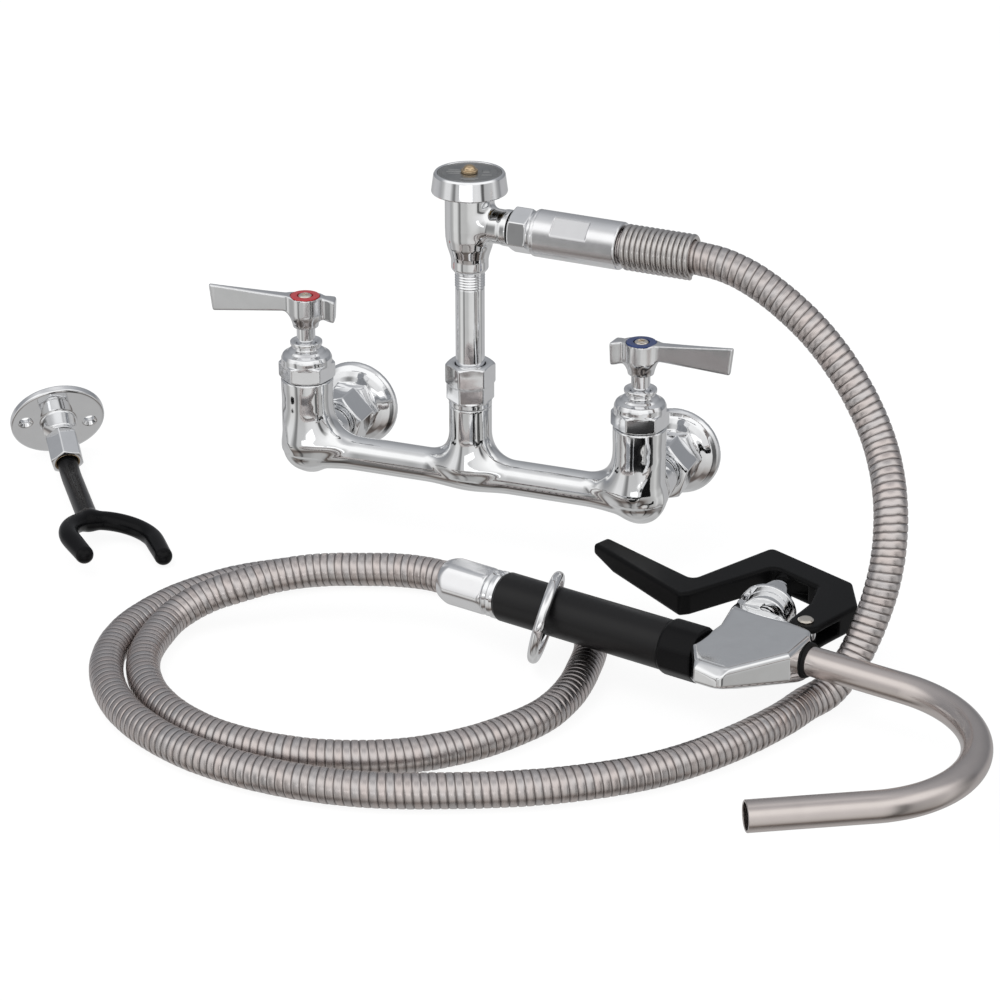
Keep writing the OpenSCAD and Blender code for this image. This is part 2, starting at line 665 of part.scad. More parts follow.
// the blade thins towards its tip from below: u, w
trigger_side = [[-114,7], [46,7], [46,-7], [-20,-7], [-44,-6.4], [-97,-4.4], [-114,0.5]];
module trigger_lever() color([0.07,0.07,0.075]) on_valve() {
    difference() {
        intersection() {
            translate([0,0,-7]) linear_extrude(14) polygon(trigger_outline);
            translate([0,130,0]) rotate([90,0,0]) linear_extrude(130) polygon(trigger_side);
        }
        translate([15.5,30,-3.6]) cube([30,38.5,7.2]);              // slot of the fork
        at_pin() rod(-20, 2.58, 40);
        stem_frame() translate([-4.2,20,-4.2]) cube([20.2,18.45,8.4]);   // over the push rod
    }
    // pad that meets the push rod
    intersection() {
        along_stem() rod(38.45, 5, 6);
        translate([-30,90,-7]) cube([60,40,14]);
    }
}
module trigger_pin() color([0.8,0.78,0.74]) on_valve() at_pin() {
    rod(-8.4, pin_r, 16);
    cone(7.1, 4.4, 3, 1.4);
    cone(-8.5, 3.4, 4.2, 1.4);
}

// straight, bend and tip; overrun lengthens both ends for a through bore
module nozzle_path(radius, overrun = 0) {
    along_nozzle(nozzle_start_u-overrun)
        cylinder(r = radius, h = nozzle_bend_u-nozzle_start_u+overrun);
    translate([nozzle_bend_u,nozzle_v,0]) sphere(r = radius+ball_extra);
    translate([nozzle_bend_u,nozzle_v-nozzle_bend,0]) rotate([0,0,90-nozzle_angle]) {
        rotate_extrude(angle = nozzle_angle) translate([nozzle_bend,0]) circle(r = radius);
        translate([nozzle_bend,0,0]) {
            sphere(r = radius+ball_extra);
            rotate([90,0,0]) cylinder(r = radius, h = nozzle_tip_len+overrun);
        }
    }
}
module nozzle_tube() color([0.68,0.64,0.6]) on_valve() difference() {
    nozzle_path(nozzle_r, $fn = 32);
    nozzle_path(6.6, 2, $fn = 32);
}
module nozzle_gland() color([0.08,0.08,0.08]) on_valve() along_nozzle(gland_u+0.1)
    rotate_extrude() polygon([[nozzle_r+gap,0], [gland_r,0], [gland_r,3.4], [9.1,4.4],
        [nozzle_r+gap,4.4]]);

// hold-open ring, loose on the grip
ring_centre = [-98,0,-5.3];
ring_turn = 20.7;
ring_lean = 12.8;
module hold_ring() color(chrome)
    on_valve() translate(ring_centre) rotate([0,0,ring_turn]) rotate([0,ring_lean,0])
        rotate([0,90,0]) rotate_extrude() translate([23,0]) circle(r = 2.9);

// ---- wall hook, laid beside the faucet ----
hook_centre = [-285.88,-40.45,-23.6];
hook_normal = unit([0.5434,-0.7003,-0.463]);
hook_hole_dir = 83;
screw_hole_r = 2.6;
stud_r = 4;
stud_bore_r = 4.06;
core_r = 3.2;                // bare rod under the coating
fork_centre = [-189.7,-155.17,-38.37];   // centre of the U
fork_dir = 44.6;             // turn of the fork's opening from -Y
fork_r = 25.47;
fork_side = 12.1;            // one arm rests on the table, the other is raised
fork_tilt = 2.2;
fork_arm = 20.2;
fork_pinch = 4.4;            // the arms close in by this angle
shank_extra = 0.5;           // the shank's coat is a little thicker than the fork's

// local z is the flange's outward normal
module on_hook() translate(hook_centre)
    rotate([0, acos(hook_normal[2]), atan2(hook_normal[1], hook_normal[0])]) children();
// the fork opens towards local -Y
module fork_frame() translate(fork_centre) rotate([0,0,fork_dir]) rotate([fork_tilt,0,0])
    rotate([0,fork_side,0]) children();
// a fork point in faucet coordinates
function from_fork(p) = let(
        x = p[0]*cos(fork_side)+p[2]*sin(fork_side),
        z = -p[0]*sin(fork_side)+p[2]*cos(fork_side),
        y = p[1]*cos(fork_tilt)-z*sin(fork_tilt),
        height = p[1]*sin(fork_tilt)+z*cos(fork_tilt))
    fork_centre+[x*cos(fork_dir)-y*sin(fork_dir), x*sin(fork_dir)+y*cos(fork_dir), height];
// the shank leaves the nut, bends once and joins the fork
shank_start = hook_centre+hook_normal*35.6;
shank_bend = hook_centre+hook_normal*42.5;
shank_end = from_fork([fork_r*sin(-15), fork_r*cos(15), 0]);

module strut(from, to, radius) {
    run = to-from;
    translate(from) rotate([0, acos(run[2]/norm(run)), atan2(run[1], run[0])])
        cylinder(r = radius, h = norm(run));
}
module fork_arm_rod(radius) rotate(-fork_pinch) translate([fork_r,0,0]) {
    sphere(r = radius+ball_extra);
    rotate([90,0,0]) cylinder(r = radius, h = fork_arm);
    translate([0,-fork_arm,0]) sphere(r = radius+ball_extra);
}
module hook_path(radius, extra = 0) {
    strut(shank_start, shank_bend, radius+extra);
    translate(shank_bend) sphere(r = radius+extra+ball_extra);
    strut(shank_bend, shank_end, radius+extra);
    translate(shank_end) sphere(r = radius+ball_extra);
    fork_frame() {
        rotate(-fork_pinch) rotate_extrude(angle = 180+2*fork_pinch)
            translate([fork_r,0]) circle(r = radius);
        for (flip = [0,1]) mirror([flip,0,0]) fork_arm_rod(radius);
    }
}
module hook_flange() color(chrome) on_hook() difference() {
    union() {
        rod(-3.2, hook_flange_r, 3.4);
        cone(0.2, hook_flange_r, hook_flange_r-1.2, 1.2);
        cone(1, 10.8, 10.1, 12.8);
    }
    for (angle = [0,180]) rotate(angle+hook_hole_dir) translate([hook_pcd/2,0,0]) {
        rod(-5, screw_hole_r, 20);
        cone(-0.4, screw_hole_r, 4.6, 1.9);
    }
    rod(-5, stud_bore_r, 30);
}
module hook_nut() color(chrome) on_hook() difference() {
    chamfer_hex(13.85, 18.4, 20.75);
    rod(9, stud_bore_r, 30);
}
module hook_rod() color([0.7,0.7,0.7]) {
    hook_path(core_r);
    strut(hook_centre-hook_normal, shank_start+hook_normal*0.5, stud_r);
}
module hook_coating() color([0.04,0.04,0.05]) difference() {
    hook_path(hook_r, shank_extra, $fn = 24);
    hook_path(core_r+0.04, $fn = 24);
    strut(hook_centre+hook_normal*30, shank_start+hook_normal*0.6, stud_r+0.03);
}

faucet_body();
hot_supply_flange();
cold_supply_flange();
hot_coupling_nut();
cold_coupling_nut();
union_washers();
hot_bonnet_nut();
cold_bonnet_nut();
cartridge_bodies();
cartridge_seals();
lower_discs();
hot_stem();
hot_upper_disc();
hot_lever();
hot_index_ring();
hot_lever_screw();
cold_stem();
cold_upper_disc();
cold_lever();
cold_index_ring();
cold_lever_screw();
riser_nut();
riser_washer();
riser_tube();
breaker_body();
breaker_guide();
breaker_float();
breaker_cap();
breaker_screw();
outlet_washer();
hose_adapter();
hose_sleeve();
spring_guard();
hose_inlet_casing();
hose_inlet_liner();
hose_casing();
hose_liner();
hose_end_casing();
hose_end_liner();
hose_ferrule();
grip_ring();
grip_tube();
grip_sleeve();
grip_collar();
valve_body();
valve_bonnet();
valve_seat();
valve_spring();
valve_plunger();
trigger_lever();
trigger_pin();
nozzle_tube();
nozzle_gland();
hold_ring();
hook_flange();
hook_nut();
hook_rod();
hook_coating();
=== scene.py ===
"""A two-handle faucet with a riser, a coiled metal hose, a lever-operated valve with a
pouring nozzle, and a forked hook.

The supply flanges stand on the plane y = 0 and the faucet reaches out towards -y, where the
camera is. x runs from the hot side (-) to the cold side (+) and z is up. The hose, the valve
and the hook lie low over the floor. Shapes are worked out in millimetres; build() turns them
into metres.
"""
import bpy
import json
import math
import numpy as np
from mathutils import Matrix, Vector

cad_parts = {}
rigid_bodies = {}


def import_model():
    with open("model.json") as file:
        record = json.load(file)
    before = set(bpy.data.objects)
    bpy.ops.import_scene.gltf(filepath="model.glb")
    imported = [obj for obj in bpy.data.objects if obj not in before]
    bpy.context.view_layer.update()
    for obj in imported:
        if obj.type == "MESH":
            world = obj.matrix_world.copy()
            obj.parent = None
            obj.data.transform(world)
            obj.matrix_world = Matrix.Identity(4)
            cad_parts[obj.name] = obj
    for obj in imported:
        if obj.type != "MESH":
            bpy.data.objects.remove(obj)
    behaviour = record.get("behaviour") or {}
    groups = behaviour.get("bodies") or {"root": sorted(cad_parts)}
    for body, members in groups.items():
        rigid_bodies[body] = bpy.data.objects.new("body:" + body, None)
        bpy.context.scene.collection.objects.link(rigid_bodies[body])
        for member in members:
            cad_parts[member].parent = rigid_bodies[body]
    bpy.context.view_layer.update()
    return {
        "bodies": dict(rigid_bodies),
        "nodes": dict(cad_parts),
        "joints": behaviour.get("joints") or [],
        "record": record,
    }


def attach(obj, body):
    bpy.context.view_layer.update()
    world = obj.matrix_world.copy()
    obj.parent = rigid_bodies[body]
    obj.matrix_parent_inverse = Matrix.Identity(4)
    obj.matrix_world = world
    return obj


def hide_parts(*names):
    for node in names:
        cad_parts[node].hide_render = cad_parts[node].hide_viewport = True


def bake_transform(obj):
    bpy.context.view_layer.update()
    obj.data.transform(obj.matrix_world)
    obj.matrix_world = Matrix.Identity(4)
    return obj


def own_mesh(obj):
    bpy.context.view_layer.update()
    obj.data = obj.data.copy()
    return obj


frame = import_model()


rng = np.random.default_rng(7)
scene = bpy.context.scene
MM = 0.001


# ---------------------------------------------------------------- frames
def unit(v):
    v = np.asarray(v, float)
    return v / np.linalg.norm(v)


class Frame:
    """A local frame: origin in world millimetres, axes as matrix columns."""

    def __init__(self, origin, x_axis, y_axis, z_axis):
        self.origin = np.array(origin, float)
        self.axes = np.array([x_axis, y_axis, z_axis], float).T

    def local(self, points):
        return (points - self.origin) @ self.axes

    def point(self, p):
        return self.origin + np.asarray(p, float) @ self.axes.T

    def way(self, v):
        return np.asarray(v, float) @ self.axes.T

    def moved(self, p):
        return Frame(self.point(p), *self.axes.T)


# ---------------------------------------------------------------- meshes
def add_object(name, data):
    ob = bpy.data.objects.new(name, data)
    scene.collection.objects.link(ob)
    return ob


def build(name, points, quads=None, tris=None, normals=None, attributes=None):
    """A smooth-shaded mesh object from millimetre points; quads come before triangles."""
    loops, starts, total = [], [], 0
    for faces, sides in ((quads, 4), (tris, 3)):
        if faces is not None and len(faces):
            faces = np.asarray(faces, np.int32)
            loops.append(faces.ravel())
            starts.append(total + np.arange(len(faces)) * sides)
            total += faces.size
    loops = np.concatenate(loops)
    starts = np.concatenate(starts).astype(np.int32)
    points = np.asarray(points, float)
    mesh = bpy.data.meshes.new(name)
    mesh.vertices.add(len(points))
    mesh.vertices.foreach_set("co", (points * MM).astype(np.float32).ravel())
    mesh.loops.add(len(loops))
    mesh.loops.foreach_set("vertex_index", loops)
    mesh.polygons.add(len(starts))
    mesh.polygons.foreach_set("loop_start", starts)
    mesh.update(calc_edges=True)
    mesh.polygons.foreach_set("use_smooth", np.ones(len(starts), bool))
    for key, values in (attributes or {}).items():
        values = np.asarray(values, np.float32)
        kind, field = ("FLOAT", "value") if values.ndim == 1 else ("FLOAT_VECTOR", "vector")
        mesh.attributes.new(key, kind, "POINT").data.foreach_set(field, values.ravel())
    mesh.validate(clean_customdata=False)
    if normals is not None:
        normals = np.asarray(normals, np.float32).tolist()
        mesh.normals_split_custom_set_from_vertices(normals)
    return add_object(name, mesh)


def copy_along_x(ob, name, shift):
    mesh = ob.data.copy()
    mesh.name = name
    points = np.zeros(len(mesh.vertices) * 3, np.float32)
    mesh.vertices.foreach_get("co", points)
    points = points.reshape(-1, 3) + np.array((shift, 0, 0), np.float32) * MM
    mesh.vertices.foreach_set("co", points.astype(np.float32).ravel())
    mesh.update()
    return add_object(name, mesh)


def rounded(rows, closed=True, steps=5):
    """Rounds the corners of a polyline given as rows of two coordinates and a corner radius.

    Returns the points and the normals on the right of travel.
    """
    rows = np.array(rows, float)
    corners = rows[:, :2]
    count = len(rows)
    points, normals = [], []
    for i, here in enumerate(corners):
        before, after = corners[i - 1], corners[(i + 1) % count]
        if not closed and i in (0, count - 1):
            way = unit(after - here) if i == 0 else unit(here - before)
            points.append(here)
            normals.append([way[1], -way[0]])
            continue
        length_in, length_out = np.linalg.norm(here - before), np.linalg.norm(after - here)
        way_in, way_out = (here - before) / length_in, (after - here) / length_out
        turn = math.atan2(way_in[0] * way_out[1] - way_in[1] * way_out[0],
                          float(way_in @ way_out))
        if abs(turn) < 0.02:
            way = unit(way_in + way_out)
            points.append(here)
            normals.append([way[1], -way[0]])
            continue
        side = 1 if turn > 0 else -1
        tan_half = math.tan(abs(turn) / 2)
        setback = min(max(rows[i, 2], 1e-3) * tan_half, 0.48 * length_in, 0.48 * length_out)
        radius = setback / tan_half
        centre = here - way_in * setback + np.array([-way_in[1], way_in[0]]) * side * radius
        start = math.atan2(way_in[1], way_in[0])
        for k in range(steps + 1):
            angle = start + turn * k / steps
            normal = np.array([math.sin(angle), -math.cos(angle)])
            points.append(centre + normal * radius * side)
            normals.append(normal)
    return np.array(points), np.array(normals)


def band(first, second, count):
    """Quads between two rings of vertices, given the first index of each."""
    j = np.arange(count)
    k = (j + 1) % count
    return np.stack([first + j, first + k, second + k, second + j], 1)


def fan(ring, pole, count):
    j = np.arange(count)
    return np.stack([ring + j, ring + (j + 1) % count, np.full(count, pole)], 1)


def spin(name, outline, outline_normals, frame, segments, closed=False):
    """Turns (r, z) points about the local z axis; a point on the axis becomes a pole."""
    angle = np.arange(segments) * 2 * math.pi / segments
    circle = np.stack([np.cos(angle), np.sin(angle), np.ones(segments)], 1)
    points, normals, rings, total = [], [], [], 0
    for (r, z), (nr, nz) in zip(outline, outline_normals):
        if r < 1e-6:
            points.append([[0, 0, z]])
            normals.append([[0, 0, nz if abs(nz) > 1e-6 else 1]])
        else:
            points.append(circle * (r, r, z))
            normals.append(circle * (nr, nr, nz))
        rings.append((total, len(points[-1])))
        total += len(points[-1])
    quads, tris = [], []
    for i in range(len(rings) - (not closed)):
        (a, size_a), (b, size_b) = rings[i], rings[(i + 1) % len(rings)]
        if size_a == 1 and size_b == 1:
            continue
        if size_a == 1:
            tris.append(fan(b, a, segments)[:, ::-1])
        elif size_b == 1:
            tris.append(fan(a, b, segments))
        else:
            quads.append(band(a, b, segments))
    return build(name, frame.point(np.concatenate(points)), np.concatenate(quads),
                 np.concatenate(tris) if tris else None, frame.way(np.concatenate(normals)))


def lathe(name, rows, frame, segments, closed=False, steps=5):
    """A turned part from rows of r, z and corner radius."""
    return spin(name, *rounded(rows, closed, steps), frame, segments, closed)


def sweep(name, centres, ways, radius, sides, inner=None, up=(0, 0, 1)):
    """A round bar along centres, or a tube where an inner radius is given."""
    centres, ways = np.asarray(centres, float), np.asarray(ways, float)
    ways = ways / np.linalg.norm(ways, axis=1)[:, None]
    across = np.cross(np.array(up, float), ways)
    across /= np.linalg.norm(across, axis=1)[:, None]
    over = np.cross(ways, across)
    angle = np.arange(sides) * 2 * math.pi / sides
    out = (across[:, None] * np.cos(angle)[None, :, None]
           + over[:, None] * np.sin(angle)[None, :, None])
    count = len(centres)
    wall = count * sides
    points = [(centres[:, None] + out * radius).reshape(-1, 3)]
    normals = [out.reshape(-1, 3)]
    starts = range(0, wall - sides, sides)
    quads = [band(a, a + sides, sides) for a in starts]
    tris = []
    total = wall
    if inner is not None:
        points.append((centres[:, None] + out * inner).reshape(-1, 3))
        normals.append(-out.reshape(-1, 3))
        quads += [np.roll(band(wall + a + sides, wall + a, sides), 1, axis=1) for a in starts]
        total = 2 * wall
    for end, sign in ((0, -1), (count - 1, 1)):
        ring = end * sides
        way = ways[end] * sign
        if inner is not None:       # a flat end face with a small lip
            face = centres[end] + ways[end] * 0.35 * sign
            for r in (radius - 0.3, inner + 0.3):
                points.append(face + out[end] * r)
                normals.append(np.tile(way, (sides, 1)))
            rings = (ring, total, total + sides, wall + ring)
            total += 2 * sides
        else:                       # a low domed cap
            tip = way * radius * 0.14
            points += [centres[end] + out[end] * radius * 0.86 + tip, [centres[end] + tip]]
            normals += [np.tile(way, (sides, 1)) * 0.9 + out[end] * 0.3, [way]]
            rings = (ring, total)
            tris.append(fan(total, total + sides, sides)[:, ::sign])
            total += sides + 1
        for a, b in zip(rings[:-1], rings[1:]):
            quads.append(band(a, b, sides)[:, ::sign])
    return build(name, np.concatenate(points), np.concatenate(quads),
                 np.concatenate(tris) if tris else None, np.concatenate(normals))


def coil(name, frame, radius, pitch, turns, per_turn, base, wire, sides, start=0.0):
    """A wire wound about the local z axis; z = base at angle 0."""
    angle = np.arange(int(turns * per_turn) + 1) / per_turn * 2 * math.pi + start
    x, y = radius * np.cos(angle), radius * np.sin(angle)
    centres = np.stack([x, y, base + pitch * angle / (2 * math.pi)], 1)
    ways = np.stack([-y, x, np.full(len(angle), pitch / (2 * math.pi))], 1)
    return sweep(name, frame.point(centres), frame.way(ways), wire, sides,
                 up=frame.axes[:, 2])


# ---------------------------------------------------------------- distance fields
# A field is negative inside its shape. "blend" is the width over which shapes round together.
def soft_min(a, b, blend):
    h = np.clip(0.5 + 0.5 * (b - a) / blend, 0, 1)
    return b * (1 - h) + a * h - blend * h * (1 - h)


def join(blend, *fields):
    total = fields[0]
    for field in fields[1:]:
        total = soft_min(total, field, blend)
    return total


def meet(blend, *fields):
    return -join(blend, *(-field for field in fields))


def cut(blend, body, *tools):
    return -join(blend, -body, *tools)


def smooth(t):
    t = np.clip(t, 0, 1)
    return t * t * (3 - 2 * t)


def dist(a, b):
    return np.sqrt(a * a + b * b + 1e-9)


def polar(points):
    """Distance from the local z axis, and z."""
    return dist(points[:, 0], points[:, 1]), points[:, 2]


def plug(blend, off_axis, radius, along, low=None, high=None):
    """A cylinder from low to high; an end left out is open."""
    fields = [off_axis - radius]
    if high is not None:
        fields.append(along - high)
    if low is not None:
        fields.append(low - along)
    return meet(blend, *fields)


def prism(x, y, flats, blend, turn=math.pi / 6, sides=6):
    """A regular prism; flats is the width across flats."""
    angles = [turn + i * 2 * math.pi / sides for i in range(sides // 2)]
    return meet(blend, *[np.abs(x * math.cos(a) + y * math.sin(a)) - flats / 2 for a in angles])


def hex_nut(points, flats, low, high, blend, slope, inset=0.0, turn=0.0,
            bevel_low=True, bevel_high=True):
    """A hexagon blank with turned chamfers on its ends."""
    r, z = polar(points)
    fields = [prism(points[:, 0], points[:, 1], flats, blend, math.pi / 6 + turn),
              z - high, low - z]
    rise = (r - (flats / 2 - inset)) * slope
    scale = 1 / math.sqrt(1 + slope * slope)
    if bevel_high:
        fields.append(((z - high) + rise) * scale)
    if bevel_low:
        fields.append(((low - z) + rise) * scale)
    return meet(blend, *fields)


def polygon(x, y, outline):
    """Signed distance to a closed polygon."""
    nearest = np.full(len(x), 1e18)
    sign = np.ones(len(x))
    for i, a in enumerate(outline):
        b = outline[i - 1]
        edge = b - a
        wx, wy = x - a[0], y - a[1]
        t = np.clip((wx * edge[0] + wy * edge[1]) / (edge @ edge), 0, 1)
        dx, dy = wx - edge[0] * t, wy - edge[1] * t
        nearest = np.minimum(nearest, dx * dx + dy * dy)
        above, below, left = y >= a[1], y < b[1], edge[0] * wy > edge[1] * wx
        sign = np.where((above & below & left) | (~above & ~below & ~left), -sign, sign)
    return sign * np.sqrt(nearest)


def segment_distance(points, a, b):
    edge = b - a
    from_a = points - a
    t = np.clip((from_a @ edge) / (edge @ edge), 0, 1)
    return np.linalg.norm(from_a - t[:, None] * edge, axis=1)


def lattice(*counts):
    grid = np.meshgrid(*[np.arange(count) for count in counts], indexing="ij")
    return np.stack(grid, -1).reshape(-1, 3)


TETRAHEDRON = np.array([[1, -1, -1], [-1, -1, 1], [-1, 1, -1], [1, 1, 1.0]])


def gradient(field, points, reach):
    total = np.zeros_like(points)
    for corner in TETRAHEDRON:
        total += corner * field(points + corner * reach)[:, None]
    return total / (4 * reach)


def surface_nets(field, box, step):
    """Surface nets over a grid that is only filled in blocks near the surface.

    Returns points moved onto the surface, quads, and the field's gradient as normals.
    """
    block = 8
    low = np.array(box[0], float) - 1.6 * step
    high = np.array(box[1], float) + 1.6 * step
    blocks = np.maximum(1, np.ceil((high - low) / step / block).astype(int))
    size = blocks * block
    index = lattice(*blocks)
    centre = field(low + (index + 0.5) * block * step)
    near = np.abs(centre) < 0.5 * math.sqrt(3) * block * step * 1.35 + step
    grid = np.where(centre < 0, -1.0, 1.0).reshape(blocks).astype(np.float32)
    grid = grid.repeat(block, 0).repeat(block, 1).repeat(block, 2)
    grid = np.pad(grid, ((0, 1),) * 3, mode="edge")
    nodes = lattice(*[block + 1] * 3)
    firsts = index[near] * block
    batch = 400
    for c in range(0, len(firsts), batch):
        ijk = (firsts[c:c + batch, None] + nodes[None]).reshape(-1, 3)
        grid[tuple(ijk.T)] = field(low + ijk * step)

    # Cells with corners both inside and outside hold one vertex each.
    inside = grid < 0
    corners_in = np.zeros(size, np.uint8)
    for a, b, c in lattice(2, 2, 2):
        corners_in += inside[a:size[0] + a, b:size[1] + b, c:size[2] + c]
    active = (corners_in > 0) & (corners_in < 8)
    cells = np.argwhere(active)
    ids = np.full(size, -1, np.int32)
    ids[active] = np.arange(len(cells))

    # The vertex is the mean of the crossings on the cell's twelve edges.
    total, crossings = np.zeros((len(cells), 3)), np.zeros(len(cells))
    for axis in range(3):
        side_1, side_2 = [k for k in range(3) if k != axis]
        for a in (0, 1):
            for b in (0, 1):
                start = np.zeros(3, int)
                start[side_1], start[side_2] = a, b
                end = start.copy()
                end[axis] = 1
                f0 = grid[tuple((cells + start).T)].astype(float)
                f1 = grid[tuple((cells + end).T)].astype(float)
                crossed = (f0 < 0) != (f1 < 0)
                t = np.where(crossed, f0 / np.where(crossed, f0 - f1, 1), 0)
                total += np.where(crossed[:, None], start + t[:, None] * (end - start), 0)
                crossings += crossed
    points = low + step * (cells + total / crossings[:, None])

    # Each crossed grid edge is ringed by a quad of its four cells.
    quads = []
    for axis in range(3):
        u, v = (axis + 1) % 3, (axis + 2) % 3
        slice_0, slice_1 = [slice(1, None)] * 3, [slice(1, None)] * 3
        slice_0[axis], slice_1[axis] = slice(0, size[axis]), slice(1, size[axis] + 1)
        for k in (u, v):
            slice_0[k] = slice_1[k] = slice(1, size[k])
        a, b = inside[tuple(slice_0)], inside[tuple(slice_1)]
        for crossed, order in ((a & ~b, 1), (~a & b, -1)):
            edges = np.argwhere(crossed)
            edges[:, u] += 1
            edges[:, v] += 1
            ring = []
            for du, dv in ((-1, -1), (0, -1), (0, 0), (-1, 0)):
                cell = edges.copy()
                cell[:, u] += du
                cell[:, v] += dv
                ring.append(ids[tuple(cell.T)])
            quads.append(np.stack(ring, 1)[:, ::order])
    quads = np.concatenate(quads)
    quads = quads[(quads >= 0).all(1)]

    for _ in range(3):
        value = field(points)
        slope = gradient(field, points, 0.05)
        square = np.maximum((slope * slope).sum(1), 0.2)
        move = np.clip(value, -0.6 * step, 0.6 * step)
        points = points - move[:, None] * slope / square[:, None]
    normals = gradient(field, points, 0.04)
    normals /= np.maximum(np.linalg.norm(normals, axis=1), 1e-9)[:, None]
    return points, quads, normals


def place(name, net, frame):
    points, quads, normals = net
    return build(name, frame.point(points), quads, None, frame.way(normals))


def solid(name, field, box, step, frame):
    return place(name, surface_nets(field, box, step), frame)


def about_z(radius, low, high):
    """The box round a part that stands on the local z axis."""
    return (-radius, -radius, low), (radius, radius, high)


# ---------------------------------------------------------------- shader nodes
def add(tree, kind, inputs=None, out=0, **settings):
    """Adds a node and returns one output; inputs given as sockets are linked."""
    node = tree.nodes.new("ShaderNode" + kind)
    for key, value in settings.items():
        setattr(node, key, value)
    for key, value in (inputs or {}).items():
        if isinstance(value, bpy.types.NodeSocket):
            tree.links.new(value, node.inputs[key])
        else:
            node.inputs[key].default_value = value
    return node.outputs[out]


def show(tree, shader, kind="OutputMaterial"):
    tree.links.new(shader, tree.nodes.new("ShaderNode" + kind).inputs[0])


def ramp(tree, factor, stops):
    """A colour ramp from (position, grey or rgb) stops."""
    node = tree.nodes.new("ShaderNodeValToRGB")
    elements = node.color_ramp.elements
    while len(elements) > 1:
        elements.remove(elements[-1])
    for i, (position, colour) in enumerate(stops):
        stop = elements[0] if i == 0 else elements.new(position)
        stop.position = position
        stop.color = (*(colour if isinstance(colour, tuple) else (colour,) * 3), 1)
    tree.links.new(factor, node.inputs[0])
    return node.outputs[0]


def noise(tree, vector, scale, detail):
    return add(tree, "TexNoise", {"Vector": vector, "Scale": scale, "Detail": detail}, "Fac")


def scaled(tree, vector, scale):
    return add(tree, "Mapping", {"Vector": vector, "Scale": scale})


def roughness(tree, value, low, high):
    return add(tree, "MapRange", {"Value": value, "To Min": low, "To Max": high})


def mix(tree, factor, a, b, blend_type="MIX"):
    return add(tree, "Mix", {"Factor": factor, 6: a, 7: b}, 2,
               data_type="RGBA", blend_type=blend_type)


def bump(tree, height, strength, distance, below=None):
    """A bump of the given distance in metres, laid over an earlier one."""
    inputs = {"Height": height, "Strength": strength, "Distance": distance}
    if below:
        inputs["Normal"] = below
    return add(tree, "Bump", inputs)


def new_material(name):
    material = bpy.data.materials.new(name)
    material.use_nodes = True
    material.node_tree.nodes.clear()
    return material, material.node_tree


# ---------------------------------------------------------------- materials
def metal(name, colour, rough, spread=0.03, wave=None, grain=None, streak=None, tint=None):
    """Plated or bare metal. wave and grain are (height in m, noise scale); streak is the
    noise scale along x, y, z; spread is the change in roughness either way."""
    material, tree = new_material(name)
    place_on = add(tree, "TexCoord", out="Object")
    patches = noise(tree, place_on, scale=140, detail=3)
    inputs = {
        "Base Color": ramp(tree, patches, [(0.3, tuple(c * 0.96 for c in colour)),
                                           (0.7, tint or colour)]),
        "Roughness": roughness(tree, patches, rough - spread, rough + spread),
        "Metallic": 1.0}
    normal = None
    if wave:
        height, scale = wave
        normal = bump(tree, noise(tree, place_on, scale, detail=1), 1.0, height)
    if streak:
        lines = noise(tree, scaled(tree, place_on, streak), scale=1, detail=4)
        normal = bump(tree, lines, 0.5, 0.00004, normal)
    if grain:
        height, scale = grain
        normal = bump(tree, noise(tree, place_on, scale, detail=2), 0.6, height, normal)
    if normal:
        inputs["Normal"] = normal
    show(tree, add(tree, "BsdfPrincipled", inputs))
    return material


def plastic(name, colour, rough, grain=(0.00002, 1800), specular=0.5, coat=0.0, mottle=0.0):
    """Plastic, rubber or enamel. grain is (height in m, noise scale); mottle is the relative
    change in colour."""
    material, tree = new_material(name)
    place_on = add(tree, "TexCoord", out="Object")
    patches = noise(tree, place_on, scale=90, detail=4)
    height, scale = grain
    swing = 1 + mottle
    stops = [(0.35, tuple(c / swing for c in colour)),
             (0.65, tuple(min(1, c * swing) for c in colour))]
    show(tree, add(tree, "BsdfPrincipled", {
        "Base Color": ramp(tree, patches, stops),
        "Roughness": roughness(tree, patches, rough - 0.05, rough + 0.05),
        "Specular IOR Level": specular,
        "Coat Weight": coat,
        "Coat Roughness": 0.08,
        "Normal": bump(tree, noise(tree, place_on, scale, detail=3), 0.5, height)}))
    return material


def hose_steel(name):
    """Wound strip: brushed round the hose, with painted shade darkening the gap between turns.

    It reads the mesh attributes hs (place on the hose), groove (how much painted shade
    darkens the gap between turns) and tang (direction round the hose).
    """
    red, green, blue = 0.60, 0.565, 0.55
    rough = 0.26
    material, tree = new_material(name)
    on_hose = add(tree, "Attribute", out="Vector", attribute_name="hs")
    turn_gap_shade = add(tree, "Attribute", out="Fac", attribute_name="turn_gap_shade")
    tangent = add(tree, "Attribute", out="Vector", attribute_name="tang")
    brushed = noise(tree, scaled(tree, on_hose, (9.0, 0.12, 0.12)), scale=1.0, detail=4)
    patches = noise(tree, scaled(tree, on_hose, (0.09, 0.05, 0.05)), scale=1.0, detail=2)
    base = ramp(tree, brushed, [(0.3, (red * 0.90, green * 0.90, blue * 0.91)),
                                (0.7, (red * 1.08, green * 1.07, blue * 1.06))])
    warmth = ramp(tree, patches, [(0.35, (0.97, 0.985, 1.0)), (0.65, (1.04, 0.995, 0.98))])
    strip = mix(tree, 1, base, warmth, "MULTIPLY")
    # Painted shade: a dark colour mixed in over the gap between turns.
    gap_shade_colour = (0.085, 0.070, 0.066, 1)
    show(tree, add(tree, "BsdfPrincipled", {
        "Base Color": mix(tree, turn_gap_shade, strip, gap_shade_colour),
        "Metallic": 1,
        "Roughness": roughness(tree, brushed, rough - 0.06, rough + 0.08),
        "Anisotropic": 0.45,
        "Tangent": tangent,
        "Normal": bump(tree, brushed, 0.35, 0.00003)}))
    return material


